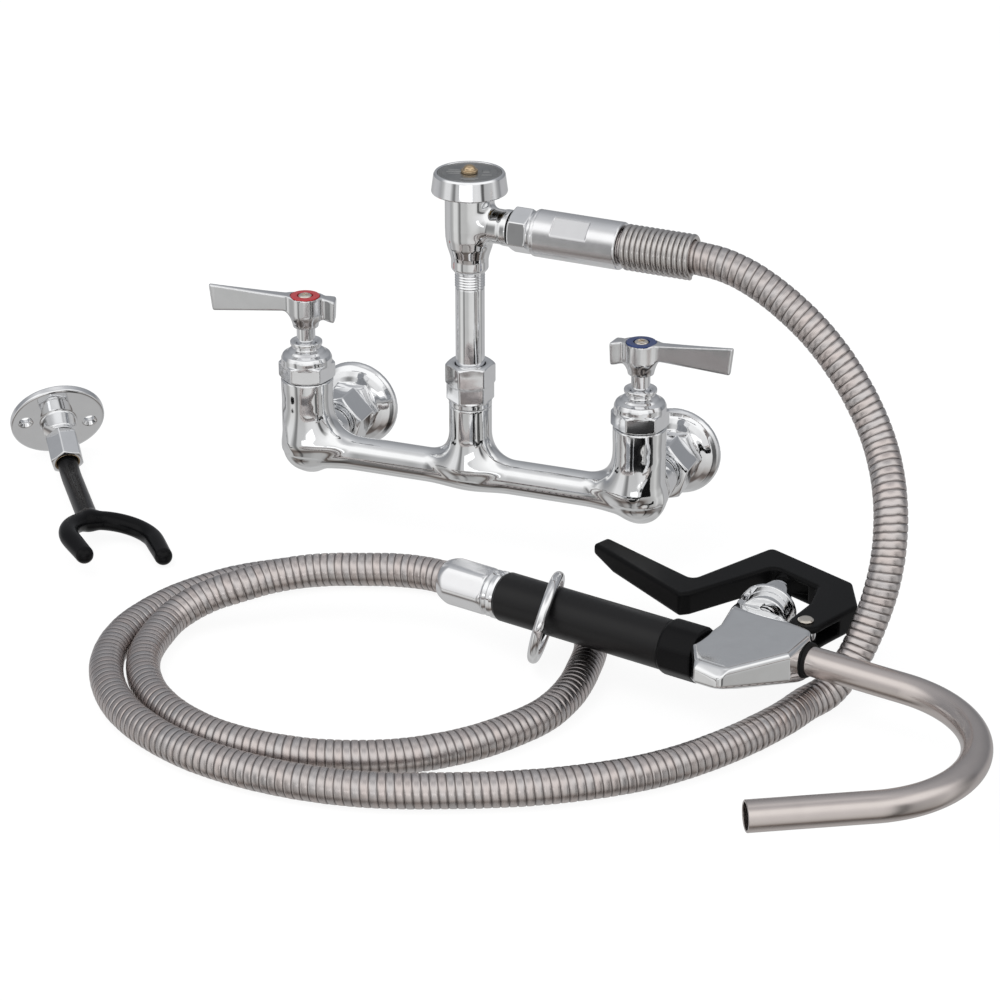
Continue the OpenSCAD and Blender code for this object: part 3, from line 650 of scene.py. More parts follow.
METALS = {
    "chrome_cast": dict(colour=(0.84, 0.845, 0.85), rough=0.05, spread=0.02, wave=(0.00028, 38)),
    "chrome": dict(colour=(0.85, 0.855, 0.865), rough=0.055, spread=0.02, wave=(0.00008, 90)),
    "chrome_lever": dict(colour=(0.80, 0.805, 0.815), rough=0.13, wave=(0.0002, 60)),
    "chrome_ring": dict(colour=(0.86, 0.86, 0.865), rough=0.05, spread=0.02),
    "satin_cap": dict(colour=(0.34, 0.345, 0.345), rough=0.36, spread=0.06,
                      grain=(0.00006, 900), tint=(0.42, 0.42, 0.41)),
    "satin_sleeve": dict(colour=(0.86, 0.86, 0.87), rough=0.15, streak=(60, 9000, 9000)),
    "satin_flat": dict(colour=(0.72, 0.72, 0.73), rough=0.33, spread=0.04,
                       streak=(2500, 200, 2500)),
    "nozzle_steel": dict(colour=(0.64, 0.585, 0.56), rough=0.21, spread=0.04,
                         grain=(0.00001, 900)),
    "spring_steel": dict(colour=(0.60, 0.575, 0.56), rough=0.2, spread=0.04,
                         grain=(0.00001, 1500)),
    "bronze": dict(colour=(0.62, 0.47, 0.30), rough=0.2, spread=0.05, wave=(0.00005, 300)),
    "brass": dict(colour=(0.70, 0.50, 0.22), rough=0.24, spread=0.06, grain=(0.00002, 2500)),
    "screw_steel": dict(colour=(0.80, 0.74, 0.66), rough=0.16, spread=0.04,
                        wave=(0.00005, 300)),
}
PLASTICS = {
    "black_grip": dict(colour=(0.0065, 0.0063, 0.0068), rough=0.34, grain=(0.00003, 2200),
                       specular=0.30),
    "black_collar": dict(colour=(0.005, 0.005, 0.0055), rough=0.34, grain=(0.00002, 2200),
                         specular=0.12),
    "black_lever": dict(colour=(0.0042, 0.0042, 0.0045), rough=0.33, grain=(0.00003, 1500),
                        specular=0.10),
    "black_vinyl": dict(colour=(0.004, 0.004, 0.0046), rough=0.22, grain=(0.00003, 500),
                        specular=0.12),
    "black_rubber": dict(colour=(0.008, 0.008, 0.008), rough=0.5, grain=(0.00003, 1400),
                         specular=0.15),
    "ceramic": dict(colour=(0.78, 0.77, 0.74), rough=0.25, mottle=0.03),
    "hot_red": dict(colour=(0.52, 0.012, 0.02), rough=0.3, coat=0.5, mottle=0.06),
    "cold_blue": dict(colour=(0.010, 0.036, 0.165), rough=0.3, coat=0.5, mottle=0.06),
}
materials = {name: metal(name, **look) for name, look in METALS.items()}
materials.update({name: plastic(name, **look) for name, look in PLASTICS.items()})
materials["hose_steel"] = hose_steel("hose_steel")


def dress(ob, material, body=None, *stands_for, slot=None):
    """Gives an object its material, its moving body and the CAD nodes it replaces. The slot
    argument is not used.
    """
    ob.data.materials.clear()
    ob.data.materials.append(materials[material])
    if body:
        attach(ob, body)
    if stands_for:
        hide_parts(*stands_for)


# ---------------------------------------------------------------- places of the parts
VALVE_Y = 72.3            # valve and riser axes, out from y = 0
HALF_SPACING = 101.6      # valve axes, either side of x = 0
OUTLET_Z = 151.4
OUTLET_TURN = math.radians(4.8)
NOZZLE_V = 26.2           # nozzle axis, in the valve's v
PIN_U, PIN_V = 30.7, 52.9
PLUMB = (0, 0, -1)


def upright(x):
    return Frame((x, -VALVE_Y, 0), *np.eye(3))


WORLD = Frame((0, 0, 0), *np.eye(3))
SUPPLY = Frame((-HALF_SPACING, 0, 0), (1, 0, 0), (0, 0, 1), (0, -1, 0))   # z points to -y
HOT_VALVE = upright(-HALF_SPACING)
RISER = upright(0)
# z runs out along the outlet
OUTLET = Frame((0, -VALVE_Y, OUTLET_Z), PLUMB,
               (math.sin(OUTLET_TURN), math.cos(OUTLET_TURN), 0),
               (math.cos(OUTLET_TURN), -math.sin(OUTLET_TURN), 0))

# Valve at the hose end: u along the grip to the nozzle, v to the lever, w up
VALVE_TURN = math.radians(-13.4)
VALVE_AT = (185.33, -214, -17)
VALVE_U = (math.cos(VALVE_TURN), math.sin(VALVE_TURN), 0)
VALVE_V = (-math.sin(VALVE_TURN), math.cos(VALVE_TURN), 0)
VALVE = Frame(VALVE_AT, VALVE_U, VALVE_V, (0, 0, 1))
GRIP = Frame(VALVE_AT, PLUMB, VALVE_V, VALVE_U)                           # z is u
STEM_LEAN = math.asin(0.28)
STEM = Frame(VALVE.point([2.5, 60, 0]),
             VALVE.way([math.cos(STEM_LEAN), math.sin(STEM_LEAN), 0]), PLUMB,
             VALVE.way([-math.sin(STEM_LEAN), math.cos(STEM_LEAN), 0]))

HOOK_AT = np.array([-285.88, -40.45, -23.6])
HOOK_WAY = unit([0.5434, -0.7003, -0.463])
tilt, swing = math.acos(HOOK_WAY[2]), math.atan2(HOOK_WAY[1], HOOK_WAY[0])
HOOK = Frame(HOOK_AT,
             (math.cos(tilt) * math.cos(swing), math.cos(tilt) * math.sin(swing),
              -math.sin(tilt)),
             (-math.sin(swing), math.cos(swing), 0), HOOK_WAY)


def on_stem(valve_points):
    return STEM.local(VALVE.point(valve_points))


# ---------------------------------------------------------------- faucet casting
BAR_RADIUS = 10.0


def casting_field(points):
    x, wall_y, z = points.T
    y = wall_y + VALVE_Y
    off_centre = np.abs(x)
    side_x = off_centre - HALF_SPACING
    from_valve, from_supply, from_riser = dist(side_x, y), dist(side_x, z), dist(x, y)

    bar_radius = (BAR_RADIUS
                  + (12.6 - BAR_RADIUS) * smooth((off_centre - (HALF_SPACING - 34)) / 34) ** 1.4
                  + (11.6 - BAR_RADIUS) * smooth((26 - off_centre) / 26))
    bar = meet(2.0, (dist(y, z - 0.4) - bar_radius) * 0.96, side_x)
    limb = plug(0.7, from_valve, 15.0 + 0.2 * smooth((z - 31) / 8), z, 0.5, 43.8)
    ball = np.sqrt(side_x * side_x + y * y + (z - 0.8) ** 2) - 15.1
    arm = plug(1.2, from_supply, 13.2, wall_y, -VALVE_Y, -41.4)
    neck = plug(0.4, from_supply, 10.5, wall_y, -60, -28.3)
    collar = plug(0.4, from_supply, 12.4, wall_y, -32.5, -28.3)
    outlet = plug(0.7, from_riser, 12.2 + 0.8 * smooth((14 - z) / 12), z, 0, 42.2)

    body = join(7.0, join(3.0, limb, ball), arm)
    body = join(2.0 + 15.0 * smooth((z + 4) / 12), body, bar)
    body = join(2.0 + 13.0 * smooth((z + 3) / 10), body, outlet)
    body = join(0.5, body, neck, collar)
    # Thread ends inside the nuts
    body = join(0.3, body, plug(0.3, from_valve, 11.4, z, 30, 49.8),
                plug(0.3, from_riser, 10.3, z, 30, 54))
    return cut(0.3, body, plug(0.3, from_valve, 9.5, z, low=5),
               plug(0.3, from_supply, 7.0, wall_y, low=-60),
               plug(0.3, from_riser, 7, z, low=3))


ob = solid("faucet_casting", casting_field, ((-118, -90, -17), (118, -27, 55)), 1.15, WORLD)
dress(ob, "chrome_cast", "faucet", "faucet_body")


# ---------------------------------------------------------------- supply flanges and nuts
# Outlines: r, z, corner radius
FLANGE, _ = rounded([
    (0, 0, 0), (26.2, 0, 0.4), (26.2, 2.0, 1.0), (25.3, 4.0, 2.5), (22.7, 6.2, 6),
    (19.4, 7.9, 8), (16.2, 9.0, 5), (15.4, 9.8, 2), (0, 9.8, 0)], False)
BONNET, _ = rounded([
    (0, 52.6, 0), (14.8, 52.6, 0.3), (14.7, 56.8, 1.6), (13.7, 58.8, 1.2), (11.4, 60.0, 1.2),
    (10.2, 61.2, 1.2), (7.9, 62.2, 1), (7.7, 64.0, 0.5), (9.3, 64.6, 0.5), (9.3, 66.7, 0.6),
    (0, 66.7, 0)], False)


def flange_field(points):
    r, z = polar(points)
    body = join(1.0, polygon(r, z, FLANGE),
                hex_nut(points, 29.5, 7.6, 15.4, 0.7, 0.55, bevel_low=False))
    body = join(0.6, body, plug(0.5, r, 12.6, z, 10, 25.2))
    body = cut(0.5, body, plug(0.5, r, 9.9, z, high=14.6), r - 7.4)
    return cut(0.6, body, (r - 10.9 + np.clip(z, 0, 3) * 0.8) * 0.78)    # widened mouth


def union_nut_field(points):
    r, z = polar(points)
    body = hex_nut(points, 31.5, 16.5, 37.0, 0.8, 0.6, inset=0.3, turn=0.22)
    return cut(0.4, body, plug(0.3, r, 12.65, z, high=32.6), r - 10.7)


def bonnet_field(points):
    r, z = polar(points)
    body = hex_nut(points, 28.8, 43.9, 54.5, 0.7, 0.5, inset=0.2, turn=0.35)
    body = join(0.5, body, polygon(r, z, BONNET))
    body = cut(0.35, body, plug(0.3, r, 11.5, z, high=50.2), plug(0.3, r, 9.46, z, high=60),
               r - 5.55)
    return cut(0.6, body, (r - 7.2 + (66.7 - z)) * 0.7)                  # countersunk top


def hot_and_cold(part, stands_for, field, box, step, frame):
    """Makes the hot part and shifts a copy of it to the cold side."""
    hot = solid("hot_" + part, field, box, step, frame)
    cold = copy_along_x(hot, "cold_" + part, 2 * HALF_SPACING)
    dress(hot, "chrome", "faucet", "hot_" + stands_for)
    dress(cold, "chrome", "faucet", "cold_" + stands_for)


hot_and_cold("escutcheon", "supply_flange", flange_field, about_z(27, -0.5, 25.6), 0.62, SUPPLY)
hot_and_cold("union_nut", "coupling_nut", union_nut_field, about_z(19, 16, 37.5), 0.55, SUPPLY)
hot_and_cold("bonnet", "bonnet_nut", bonnet_field, about_z(17.5, 41, 67.2), 0.5, HOT_VALVE)


# ---------------------------------------------------------------- handles
def lever_field(points):
    """A hub on z with a blade: the long end to +x, a short tail to -x."""
    x, y, z = points.T
    r = dist(x, y)
    hub = plug(0.8, r, 9.25 - 1.9 * smooth((84 - z) / 9), z, 75.3, 94)
    top = np.where(x > 0, 94.6 + 5.8 * np.clip((x - 8) / 48, 0, 1) ** 1.1,
                   93.6 - 1.6 * np.clip((-x - 8) / 10, 0, 1) ** 1.5)
    bottom = np.where(x > 0,
                      80.0 + 5.2 * smooth((x - 2) / 11) - 1.2 * np.clip((x - 14) / 40, 0, 1),
                      80.5 - 1.6 * smooth((-x - 8) / 9))
    half_width = np.where(x > 0, 3.9 - 2.5 * np.clip((x - 6) / 46, 0, 1) ** 0.8,
                          3.2 + 1.9 * smooth((-x - 9) / 8))
    tip = x - (54.6 + (z - 93) * 0.11)
    tail = -x - (17.4 + (z - 86) * 0.05)
    blade = meet(1.4, (z - top) * 0.97, (bottom - z) * 0.97, (np.abs(y) - half_width) * 0.97,
                 tip, tail)
    body = meet(0.5, join(3.2, hub, blade), z - np.maximum(top, 94.0))
    body = cut(0.5, body, plug(0.3, r, 4.25, z, high=88.1), plug(0.3, r, 2.1, z, low=60))
    return cut(0.5, body, plug(0.3, r, 8.6, z, low=92.25))               # seat of the ring


def lever_screw_field(points):
    r, z = polar(points)
    body = meet(0.5, plug(0.5, r, 4.1, z, 92.3, 95.0), (z - 95.4) * 0.8 + (r - 2.4) * 0.6)
    socket = meet(0.2, prism(points[:, 0], points[:, 1], 3.4, 0.2), 93.6 - z)
    return cut(0.25, body, socket)


# r, z, corner radius
INDEX_RING = [(4.6, 92.3, 0.2), (8.5, 92.3, 0.2), (8.5, 94.35, 0.5), (4.6, 94.35, 0.2)]
SPINDLE = [(0, 17.6, 0), (7.5, 17.6, 0.3), (7.5, 20.9, 0.3), (5.35, 20.9, 0.3),
           (5.35, 76.2, 0.6), (4.2, 76.2, 0.3), (4.2, 88, 0.3), (0, 88, 0)]


def rotation_z(angle):
    c, s = math.cos(angle), math.sin(angle)
    return np.array([[c, -s, 0], [s, c, 0], [0, 0, 1.0]])


lever_net = surface_nets(lever_field, ((-20, -10.5, 75), (58, 10.5, 102.5)), 0.62)
screw_net = surface_nets(lever_screw_field, about_z(4.3, 92, 95.2), 0.24)
for side, x, degrees, enamel in (("hot", -HALF_SPACING, 197.5, "hot_red"),
                                 ("cold", HALF_SPACING, -6.5, "cold_blue")):
    body, axis = side + "_valve", upright(x)
    turned = Frame(axis.origin, *rotation_z(math.radians(degrees)).T)
    ob = place(side + "_handle", lever_net, turned)
    dress(ob, "chrome_lever", body, side + "_lever")
    ob = lathe(side + "_band", INDEX_RING, axis, 72, closed=True)
    dress(ob, enamel, body, side + "_index_ring")
    ob = place(side + "_screw_head", screw_net, axis)
    dress(ob, "screw_steel", body, side + "_lever_screw")
    ob = lathe(side + "_spindle", SPINDLE, axis, 64)
    dress(ob, "chrome", body, side + "_stem")


# ---------------------------------------------------------------- riser
def riser_nut_field(points):
    r, z = polar(points)
    body = plug(0.4, r, 12.3, z, 42.3, 46)
    body = join(0.5, body, hex_nut(points, 23.8, 45, 55.4, 0.6, 0.5, inset=0.2, turn=0.42,
                                   bevel_high=False))
    body = join(0.4, body, hex_nut(points, 25.2, 54.5, 67.9, 0.7, 0.6, inset=0.25, turn=0.42))
    body = cut(0.35, body, plug(0.3, r, 10.45, z, high=60.6), r - 8.75)
    return cut(0.5, body, (r - 10.2 + (68.0 - z) * 1.6) * 0.53)


ob = solid("riser_gland", riser_nut_field, about_z(15, 42, 68.2), 0.5, RISER)
dress(ob, "chrome", "faucet", "riser_nut")

# r, z, corner radius; six thread ridges near the top
pipe = [(0, 56.6, 0), (10.3, 56.6, 0.3), (10.3, 59.8, 0.3), (8.25, 59.8, 0.2),
        (8.25, 112.6, 0.4)]
THREAD_START, THREAD_PITCH = 113.4, 1.55
for i in range(6):
    z = THREAD_START + i * THREAD_PITCH
    pipe += [(7.95, z, 0.25), (8.5, z + 0.62, 0.2), (8.5, z + 0.82, 0.2)]
pipe += [(8.2, 123.2, 0.2), (8.2, 131.8, 0.2), (0, 131.8, 0)]
ob = lathe("riser_pipe", pipe, RISER, 96)
dress(ob, "chrome", "faucet", "riser_tube")

# ---------------------------------------------------------------- breaker on the riser
# r, z, corner radius
BREAKER, _ = rounded([
    (0, 122.9, 0), (9.2, 122.9, 0.8), (10.5, 124.6, 1.6), (10.5, 129.8, 1.0), (11.0, 132.2, 4),
    (12.7, 137.5, 12), (13.6, 143, 14), (13.8, 149, 20), (13.8, 166.6, 0.3), (13.4, 167, 0.3),
    (0, 167, 0)], False)
HOOD = [(16.4, 172.6, 0.3), (18.2, 171.2, 1.5), (19.4, 169.4, 0.8), (21.0, 169.1, 0.5),
        (21.3, 169.9, 0.6), (20.0, 179.4, 1.2), (19.2, 180.5, 0.5), (18.3, 180.5, 0.3),
        (17.9, 180.1, 0.3), (17.9, 179.2, 0.2), (16.4, 179.2, 0.2)]
# Raised pads on the disc: centre x, y, half width x, y
PADS = [(-8.6, 4.4, 3.6, 0.7), (-8.6, 1.6, 4.4, 0.7), (-8.4, -1.2, 3.4, 0.7),
        (9.2, 2.4, 2.0, 2.6), (0, -10.2, 5.0, 0.6), (0, -12.6, 3.4, 0.5), (9.4, -4.6, 3.0, 0.6)]


def breaker_field(points):
    r, z = polar(points)
    off_outlet, along = polar(OUTLET.local(RISER.point(points)))
    neck = plug(0.6, off_outlet, 9.75 + 0.5 * smooth((along - 20.0) / 3.0), along, 0, 26.1)
    return cut(0.4, join(4.2, polygon(r, z, BREAKER), neck),
               plug(0.3, r, 8.6, z, high=132), r - 6, plug(0.3, r, 10.2, z, low=137),
               plug(0.3, off_outlet, 6.5, along, low=4))


def breaker_disc_field(points):
    """The top of the hood, with raised pads and a raised ring."""
    r, z = polar(points)
    c, s = 0.93, -0.36      # the pads' own axes
    x = points[:, 0] * c - points[:, 1] * s
    y = points[:, 0] * s + points[:, 1] * c
    disc = plug(0.4, r, 17.85, z, 172.6, 180.05)
    pads = np.minimum.reduce([
        meet(0.4, np.abs(x - pad_x) - half_x, np.abs(y - pad_y) - half_y, z - 180.4, 179 - z)
        for pad_x, pad_y, half_x, half_y in PADS])
    ring = plug(0.3, np.abs(r - 16.2), 0.45, z, 179, 180.35)
    return join(0.35, disc, pads, ring)


def breaker_nut_field(points):
    x, y, z = points.T
    washer = plug(0.5, dist(x, y), 4.7, z, 180.1, 181.9)
    nut = hex_nut(points, 7.0, 180.5, 184.6, 0.5, 0.5, bevel_low=False)
    dome = np.sqrt(x ** 2 + y ** 2 + (z - 181.0) ** 2 * 1.1) - 3.9
    return join(0.5, washer, meet(0.5, nut, dome))


ob = solid("breaker_shell", breaker_field, ((-14.2, -14.8, 122.5), (27.4, 14.8, 167.4)), 0.62,
           RISER)
dress(ob, "chrome_cast", "faucet", "breaker_body")
ob = lathe("breaker_hood", HOOD, RISER, 128, closed=True)
dress(ob, "chrome", "faucet", "breaker_cap")
ob = solid("breaker_disc", breaker_disc_field, about_z(18.2, 172.3, 180.6), 0.42, RISER)
dress(ob, "satin_cap", "faucet")
ob = solid("breaker_nut", breaker_nut_field, about_z(5, 179.8, 185), 0.26, RISER)
dress(ob, "bronze", "faucet", "breaker_screw")

# ---------------------------------------------------------------- outlet chain
GASKET = [(6.6, 26.2, 0.2), (9.9, 26.2, 0.2), (9.9, 27.35, 0.2), (6.6, 27.35, 0.2)]
SLEEVE_START, SLEEVE_END = 41.0, 93
FLATS_Z = 65
FLATS_TURN = math.radians(-46)


def adapter_field(points):
    r, z = polar(points)
    body = hex_nut(points, 22.6, 27.4, 39.3, 0.7, 0.5, inset=0.2, turn=-0.1)
    return cut(0.3, join(0.5, body, plug(0.4, r, 10.7, z, 34, 40.9)), r - 5)


def across_flats(x, y):
    return np.abs(x * math.cos(FLATS_TURN) - y * math.sin(FLATS_TURN))


def sleeve_field(points):
    r, z = polar(points)
    body = meet(0.7, plug(0.7, r, 13.2, z, SLEEVE_START, SLEEVE_END),
                (SLEEVE_START - z) * 0.8 + (r - 12.3) * 0.6,
                (z - SLEEVE_END) * 0.8 + (r - 12.5) * 0.6)
    body = cut(0.25, body, dist(z - 43.4, r - 13.4) - 0.45)              # turned line
    flats = meet(0.5, 11.9 - across_flats(points[:, 0], points[:, 1]),
                 np.abs(z - FLATS_Z) - 10.6)
    body = cut(0.35, body, flats)
    return cut(0.4, body, plug(0.3, r, 9.35, z, low=46.4), r - 8.7)


ob = lathe("outlet_gasket", GASKET, OUTLET, 72, closed=True)
dress(ob, "black_rubber", "faucet", "outlet_washer")
ob = solid("swivel_adapter", adapter_field, about_z(13.6, 27.2, 41.1), 0.5, OUTLET)
dress(ob, "chrome", "faucet", "hose_adapter")
ob = solid("hose_coupling", sleeve_field, about_z(13.5, 40.8, 93.4), 0.55, OUTLET)
dress(ob, "satin_sleeve", "faucet", "hose_sleeve")
ob.data.materials.append(materials["satin_flat"])
for face in ob.data.polygons:
    x, y, z = OUTLET.local(np.array(face.center) / MM)
    if abs(z - FLATS_Z) < 10.5 and across_flats(x, y) > 11.6:
        face.material_index = 1
ob = coil("guard_coil", OUTLET, radius=11.15, pitch=3.1, turns=12.85, per_turn=56, base=94.4,
          wire=1.52, sides=16, start=0.5)
dress(ob, "spring_steel", "faucet", "spring_guard")

# ---------------------------------------------------------------- hose curve
HOSE_Z = -40.85           # hose axis where it lies flat
FERRULE_START = -163.4    # along the grip
# x, y, z: down from the outlet
DROP = [(197, -91, 128), (226, -98, 101), (246, -108, 73), (261, -133, 44), (264, -148, 18),
        (260, -161, -9), (253, -175, -29), (245.5, -190, -38.8), (238, -203, HOSE_Z)]
# x, y: two loops lying flat
LOOPS = [
    (233, -219), (226, -236), (212, -263), (189, -295), (149, -328), (100, -353),
    (54.5, -368.2), (2, -371.3), (-44.9, -361.6), (-99.6, -326.5), (-125.9, -282.8),
    (-130.5, -249.1), (-128.1, -231.7), (-122, -211), (-113.5, -194), (-99.8, -174.9),
    (-85.8, -162.1), (-62, -146), (-37, -135.5), (-17, -130), (3, -128.5), (35, -131),
    (68, -138), (95.5, -153), (110.8, -177.5), (117, -207), (119, -238),
    (115, -263.6), (106, -283.1), (94.9, -300.3), (81.9, -314.8), (65.3, -328.2),
    (45.1, -338.6), (20.7, -345.8), (0.6, -347.7), (-38.5, -342.5), (-85.4, -313),
    (-108, -275.7)]
# x, y, z: up over the loops to the grip
RISE = [(-112.6, -249.4, -40.2), (-111.8, -234, -38.3), (-106, -222.9, -34.8),
        (-96.7, -213.9, -30.8), (-85.3, -207.2, -27.2), (-69.7, -195.5, -23.9),
        (-48, -184.5, -21), (-24, -179, -18.8), (-2, -174.3, -17.6)]
# Along the outlet, and height over its axis
STRAIGHT = [(47, 0), (92, 0), (120, 0), (136, 0), (150, -1.2)]
KNOT_STEPS = 40           # curve samples from one knot to the next

knots = np.array(
    [OUTLET.point([-rise, 0, along]) for along, rise in STRAIGHT]
    + [np.array(p) for p in DROP] + [np.array([x, y, HOSE_Z]) for x, y in LOOPS]
    + [np.array(p) for p in RISE]
    + [GRIP.point([0, 0, FERRULE_START + d]) for d in (-8, 6, 13)], float)
last = len(knots) - 1


def knot_way(i):
    before, here, after = knots[max(i - 1, 0)], knots[i], knots[min(i + 1, last)]
    length_in = max(np.linalg.norm(here - before), 1e-3)
    length_out = max(np.linalg.norm(after - here), 1e-3)
    way_in, way_out = (here - before) / length_in, (after - here) / length_out
    if i == 0:
        return way_out
    if i == last:
        return way_in
    return (way_in * length_out + way_out * length_in) / (length_in + length_out)


path, path_ways = [], []
for i in range(last):
    a, b = knots[i], knots[i + 1]
    length = np.linalg.norm(b - a)
    m0, m1 = knot_way(i) * length, knot_way(i + 1) * length
    t = np.linspace(0, 1, KNOT_STEPS + 1)[:, None]
    if i < last - 1:
        t = t[:-1]
    path.append(a * (2 * t**3 - 3 * t**2 + 1) + m0 * (t**3 - 2 * t**2 + t)
                + b * (-2 * t**3 + 3 * t**2) + m1 * (t**3 - t**2))
    path_ways.append(a * (6 * t**2 - 6 * t) + m0 * (3 * t**2 - 4 * t + 1)
                     + b * (-6 * t**2 + 6 * t) + m1 * (3 * t**2 - 2 * t))
path, path_ways = np.concatenate(path), np.concatenate(path_ways)
path_ways /= np.linalg.norm(path_ways, axis=1)[:, None]
# Light smoothing of the direction keeps the strip even.
for _ in range(3):
    path_ways[1:-1] = 0.25 * path_ways[:-2] + 0.5 * path_ways[1:-1] + 0.25 * path_ways[2:]
    path_ways /= np.linalg.norm(path_ways, axis=1)[:, None]
path_s = np.concatenate([[0], np.cumsum(np.linalg.norm(np.diff(path, axis=0), axis=1))])
hose_length = path_s[-1]
swing_s = path_s[KNOT_STEPS * 4]              # at the end of the straight
lift_s = path_s[KNOT_STEPS * (last - 5)]      # where the hose rises to the grip


def curve_at(s):
    s = np.clip(s, 0, hose_length)
    centre = np.stack([np.interp(s, path_s, path[:, k]) for k in range(3)], -1)
    way = np.stack([np.interp(s, path_s, path_ways[:, k]) for k in range(3)], -1)
    return centre, way / np.linalg.norm(way, axis=-1, keepdims=True)


# ---------------------------------------------------------------- hose strip
PITCH, ROWS, AROUND = 4.2, 8, 40              # mm per turn, rows per turn, points round
ROW_STEP = PITCH / ROWS
HOSE_RADIUS = 9.1
# Per row of one turn: height over the hose radius, and painted shade in the gap between turns
STRIP_HEIGHT = np.array([-0.46, -0.06, 0.02, 0.05, 0.06, 0.05, 0.03, -0.03])
STRIP_GAP_SHADE = np.array([1.0, 0.10, 0.0, 0.0, 0.0, 0.0, 0.0, 0.12])

row_count = int((hose_length - PITCH - 0.2) / ROW_STEP)
row, column = np.meshgrid(np.arange(row_count), np.arange(AROUND), indexing="ij")
phi = column * 2 * math.pi / AROUND
strip_s = row * PITCH / ROWS + phi / (2 * math.pi) * PITCH
centre, way = curve_at(strip_s)
across = np.cross(np.array([0, 0, 1.0]), way)
across /= np.linalg.norm(across, axis=-1, keepdims=True)
over = np.cross(way, across)
outward = across * np.cos(phi)[..., None] + over * np.sin(phi)[..., None]
around = -across * np.sin(phi)[..., None] + over * np.cos(phi)[..., None]
turn_no = row // ROWS
jitter = rng.normal(0, 1, row_count // ROWS + 3)
height = STRIP_HEIGHT[row % ROWS]
strip_radius = HOSE_RADIUS + height + 0.035 * jitter[turn_no] * (height > -0.2)
strip_points = centre + outward * strip_radius[..., None]
# Painted shade weight per row, strongest in the gap between turns.
turn_gap_shade = STRIP_GAP_SHADE[row % ROWS]
# Place on the hose, with a jump from turn to turn so the brushing differs
strip_place = np.stack([strip_s + 50 * ((turn_no * 7919) % 13), HOSE_RADIUS * np.cos(phi),
                        HOSE_RADIUS * np.sin(phi)], -1)
# Normals come from the whole strip, so neighbouring pieces match.
strip_normals = outward - way * (np.gradient(strip_radius, axis=0) / ROW_STEP)[..., None]
strip_normals /= np.linalg.norm(strip_normals, axis=-1, keepdims=True)


def hose_piece(name, first, end):
    """The strip's rows from first up to end; the last column joins one turn further on."""
    i = np.arange(first, end)
    i = i[i + 1 + ROWS < row_count]
    quads = []
    for j in range(AROUND):
        here = i * AROUND + j
        beside = here + 1 if j < AROUND - 1 else (i + ROWS) * AROUND
        quads.append(np.stack([here, beside, beside + AROUND, here + AROUND], 1))
    quads = np.concatenate(quads)
    used, inverse = np.unique(quads, return_inverse=True)

    def pick(values):
        return values.reshape(-1, *values.shape[2:])[used]

    return build(name, pick(strip_points), inverse.reshape(quads.shape), None,
                 pick(strip_normals),
                 {"turn_gap_shade": pick(turn_gap_shade), "hs": pick(strip_place), "tang": pick(around)})


def row_at(s):
    return int(round(s / ROW_STEP))


cuts = [0, row_at(swing_s + 24), row_at(lift_s - 58), row_at(lift_s + 52), row_count]
names = ("hose_inlet_coil", "hose_coil", "hose_lift_coil", "hose_end_coil")
inlet, run, lift, tail = [hose_piece(*piece) for piece in zip(names, cuts[:-1], cuts[1:])]
dress(inlet, "hose_steel", None, "hose_inlet_casing")
dress(run, "hose_steel", None, "hose_casing")
dress(lift, "hose_steel")
dress(tail, "hose_steel", None, "hose_end_casing")
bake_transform(inlet)
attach(run, "hose_run")
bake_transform(lift)
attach(tail, "hose_end")

# ---------------------------------------------------------------- grip
FERRULE_END = -133.0
SWIVEL_START = -132.8
# r, z, corner radius
SWIVEL = [(6.3, 0, 0.2), (12.3, 0, 0.4), (13.1, 1.2, 0.8), (12.3, 2.5, 0.3), (12.0, 3.1, 0.3),
          (13.2, 4.1, 0.6), (13.2, 6.2, 0.6), (12.2, 7.5, 0.5), (6.3, 7.5, 0.2)]
SHELL = [(8.1, -125, 0.2), (12.6, -125, 0.8), (13.6, -123.4, 1.2), (13.6, -21.9, 0.8),
         (13.2, -20.8, 0.4), (8.1, -20.8, 0.2)]


def ferrule_field(points):
    r, z = polar(points)
    start, end = FERRULE_START - z, z - FERRULE_END
    body = meet(0.9, prism(points[:, 0], points[:, 1], 24, 0.9, turn=0.0), r - 13.15, start, end,
                start * 0.46 + (r - 10.5) * 0.89, end * 0.6 + (r - 12.3) * 0.8)
    return cut(0.4, body, plug(0.3, r, 9.3, z, high=FERRULE_START + 14), r - 4.8,
               plug(0.3, r, 6.2, z, low=-143))


def octagon_field(points):
    r, z = polar(points)
    body = meet(0.8, prism(points[:, 0], points[:, 1], 29.2, 0.8, turn=0.0, sides=8), r - 15.2,
                -20.6 - z, z + 0.2, (-20.6 - z) * 0.7 + (r - 14.0) * 0.7)
    return cut(0.3, body, r - 8.05)


ob = solid("hose_end_ferrule", ferrule_field, about_z(13.4, FERRULE_START, SWIVEL_START), 0.5,
           GRIP)
dress(ob, "satin_sleeve", "hose_end", "hose_ferrule")
ob = lathe("swivel_ring", SWIVEL, GRIP.moved((0, 0, SWIVEL_START)), 96, closed=True)
dress(ob, "chrome", "spray_valve", "grip_ring")
ob = lathe("grip_shell", SHELL, GRIP, 128, closed=True, steps=6)
dress(ob, "black_grip", "spray_valve", "grip_sleeve")
ob = solid("grip_octagon", octagon_field, about_z(15.5, -20.8, 0), 0.5, GRIP)
dress(ob, "black_collar", "spray_valve", "grip_collar")

# ---------------------------------------------------------------- valve
# u, v, corner radius
BODY_UV, _ = rounded([
    (12.5, -31, 1.5), (28.5, -33, 4), (48.5, 5, 1.5), (46.5, 29.5, 2), (43.5, 36, 4),
    (27, 41.5, 4), (16, 49, 2), (-11.8, 56, 1.5), (-8.6, 47, 3), (0.1, 16, 3),
    (0.1, -13, 1.5)], steps=4)
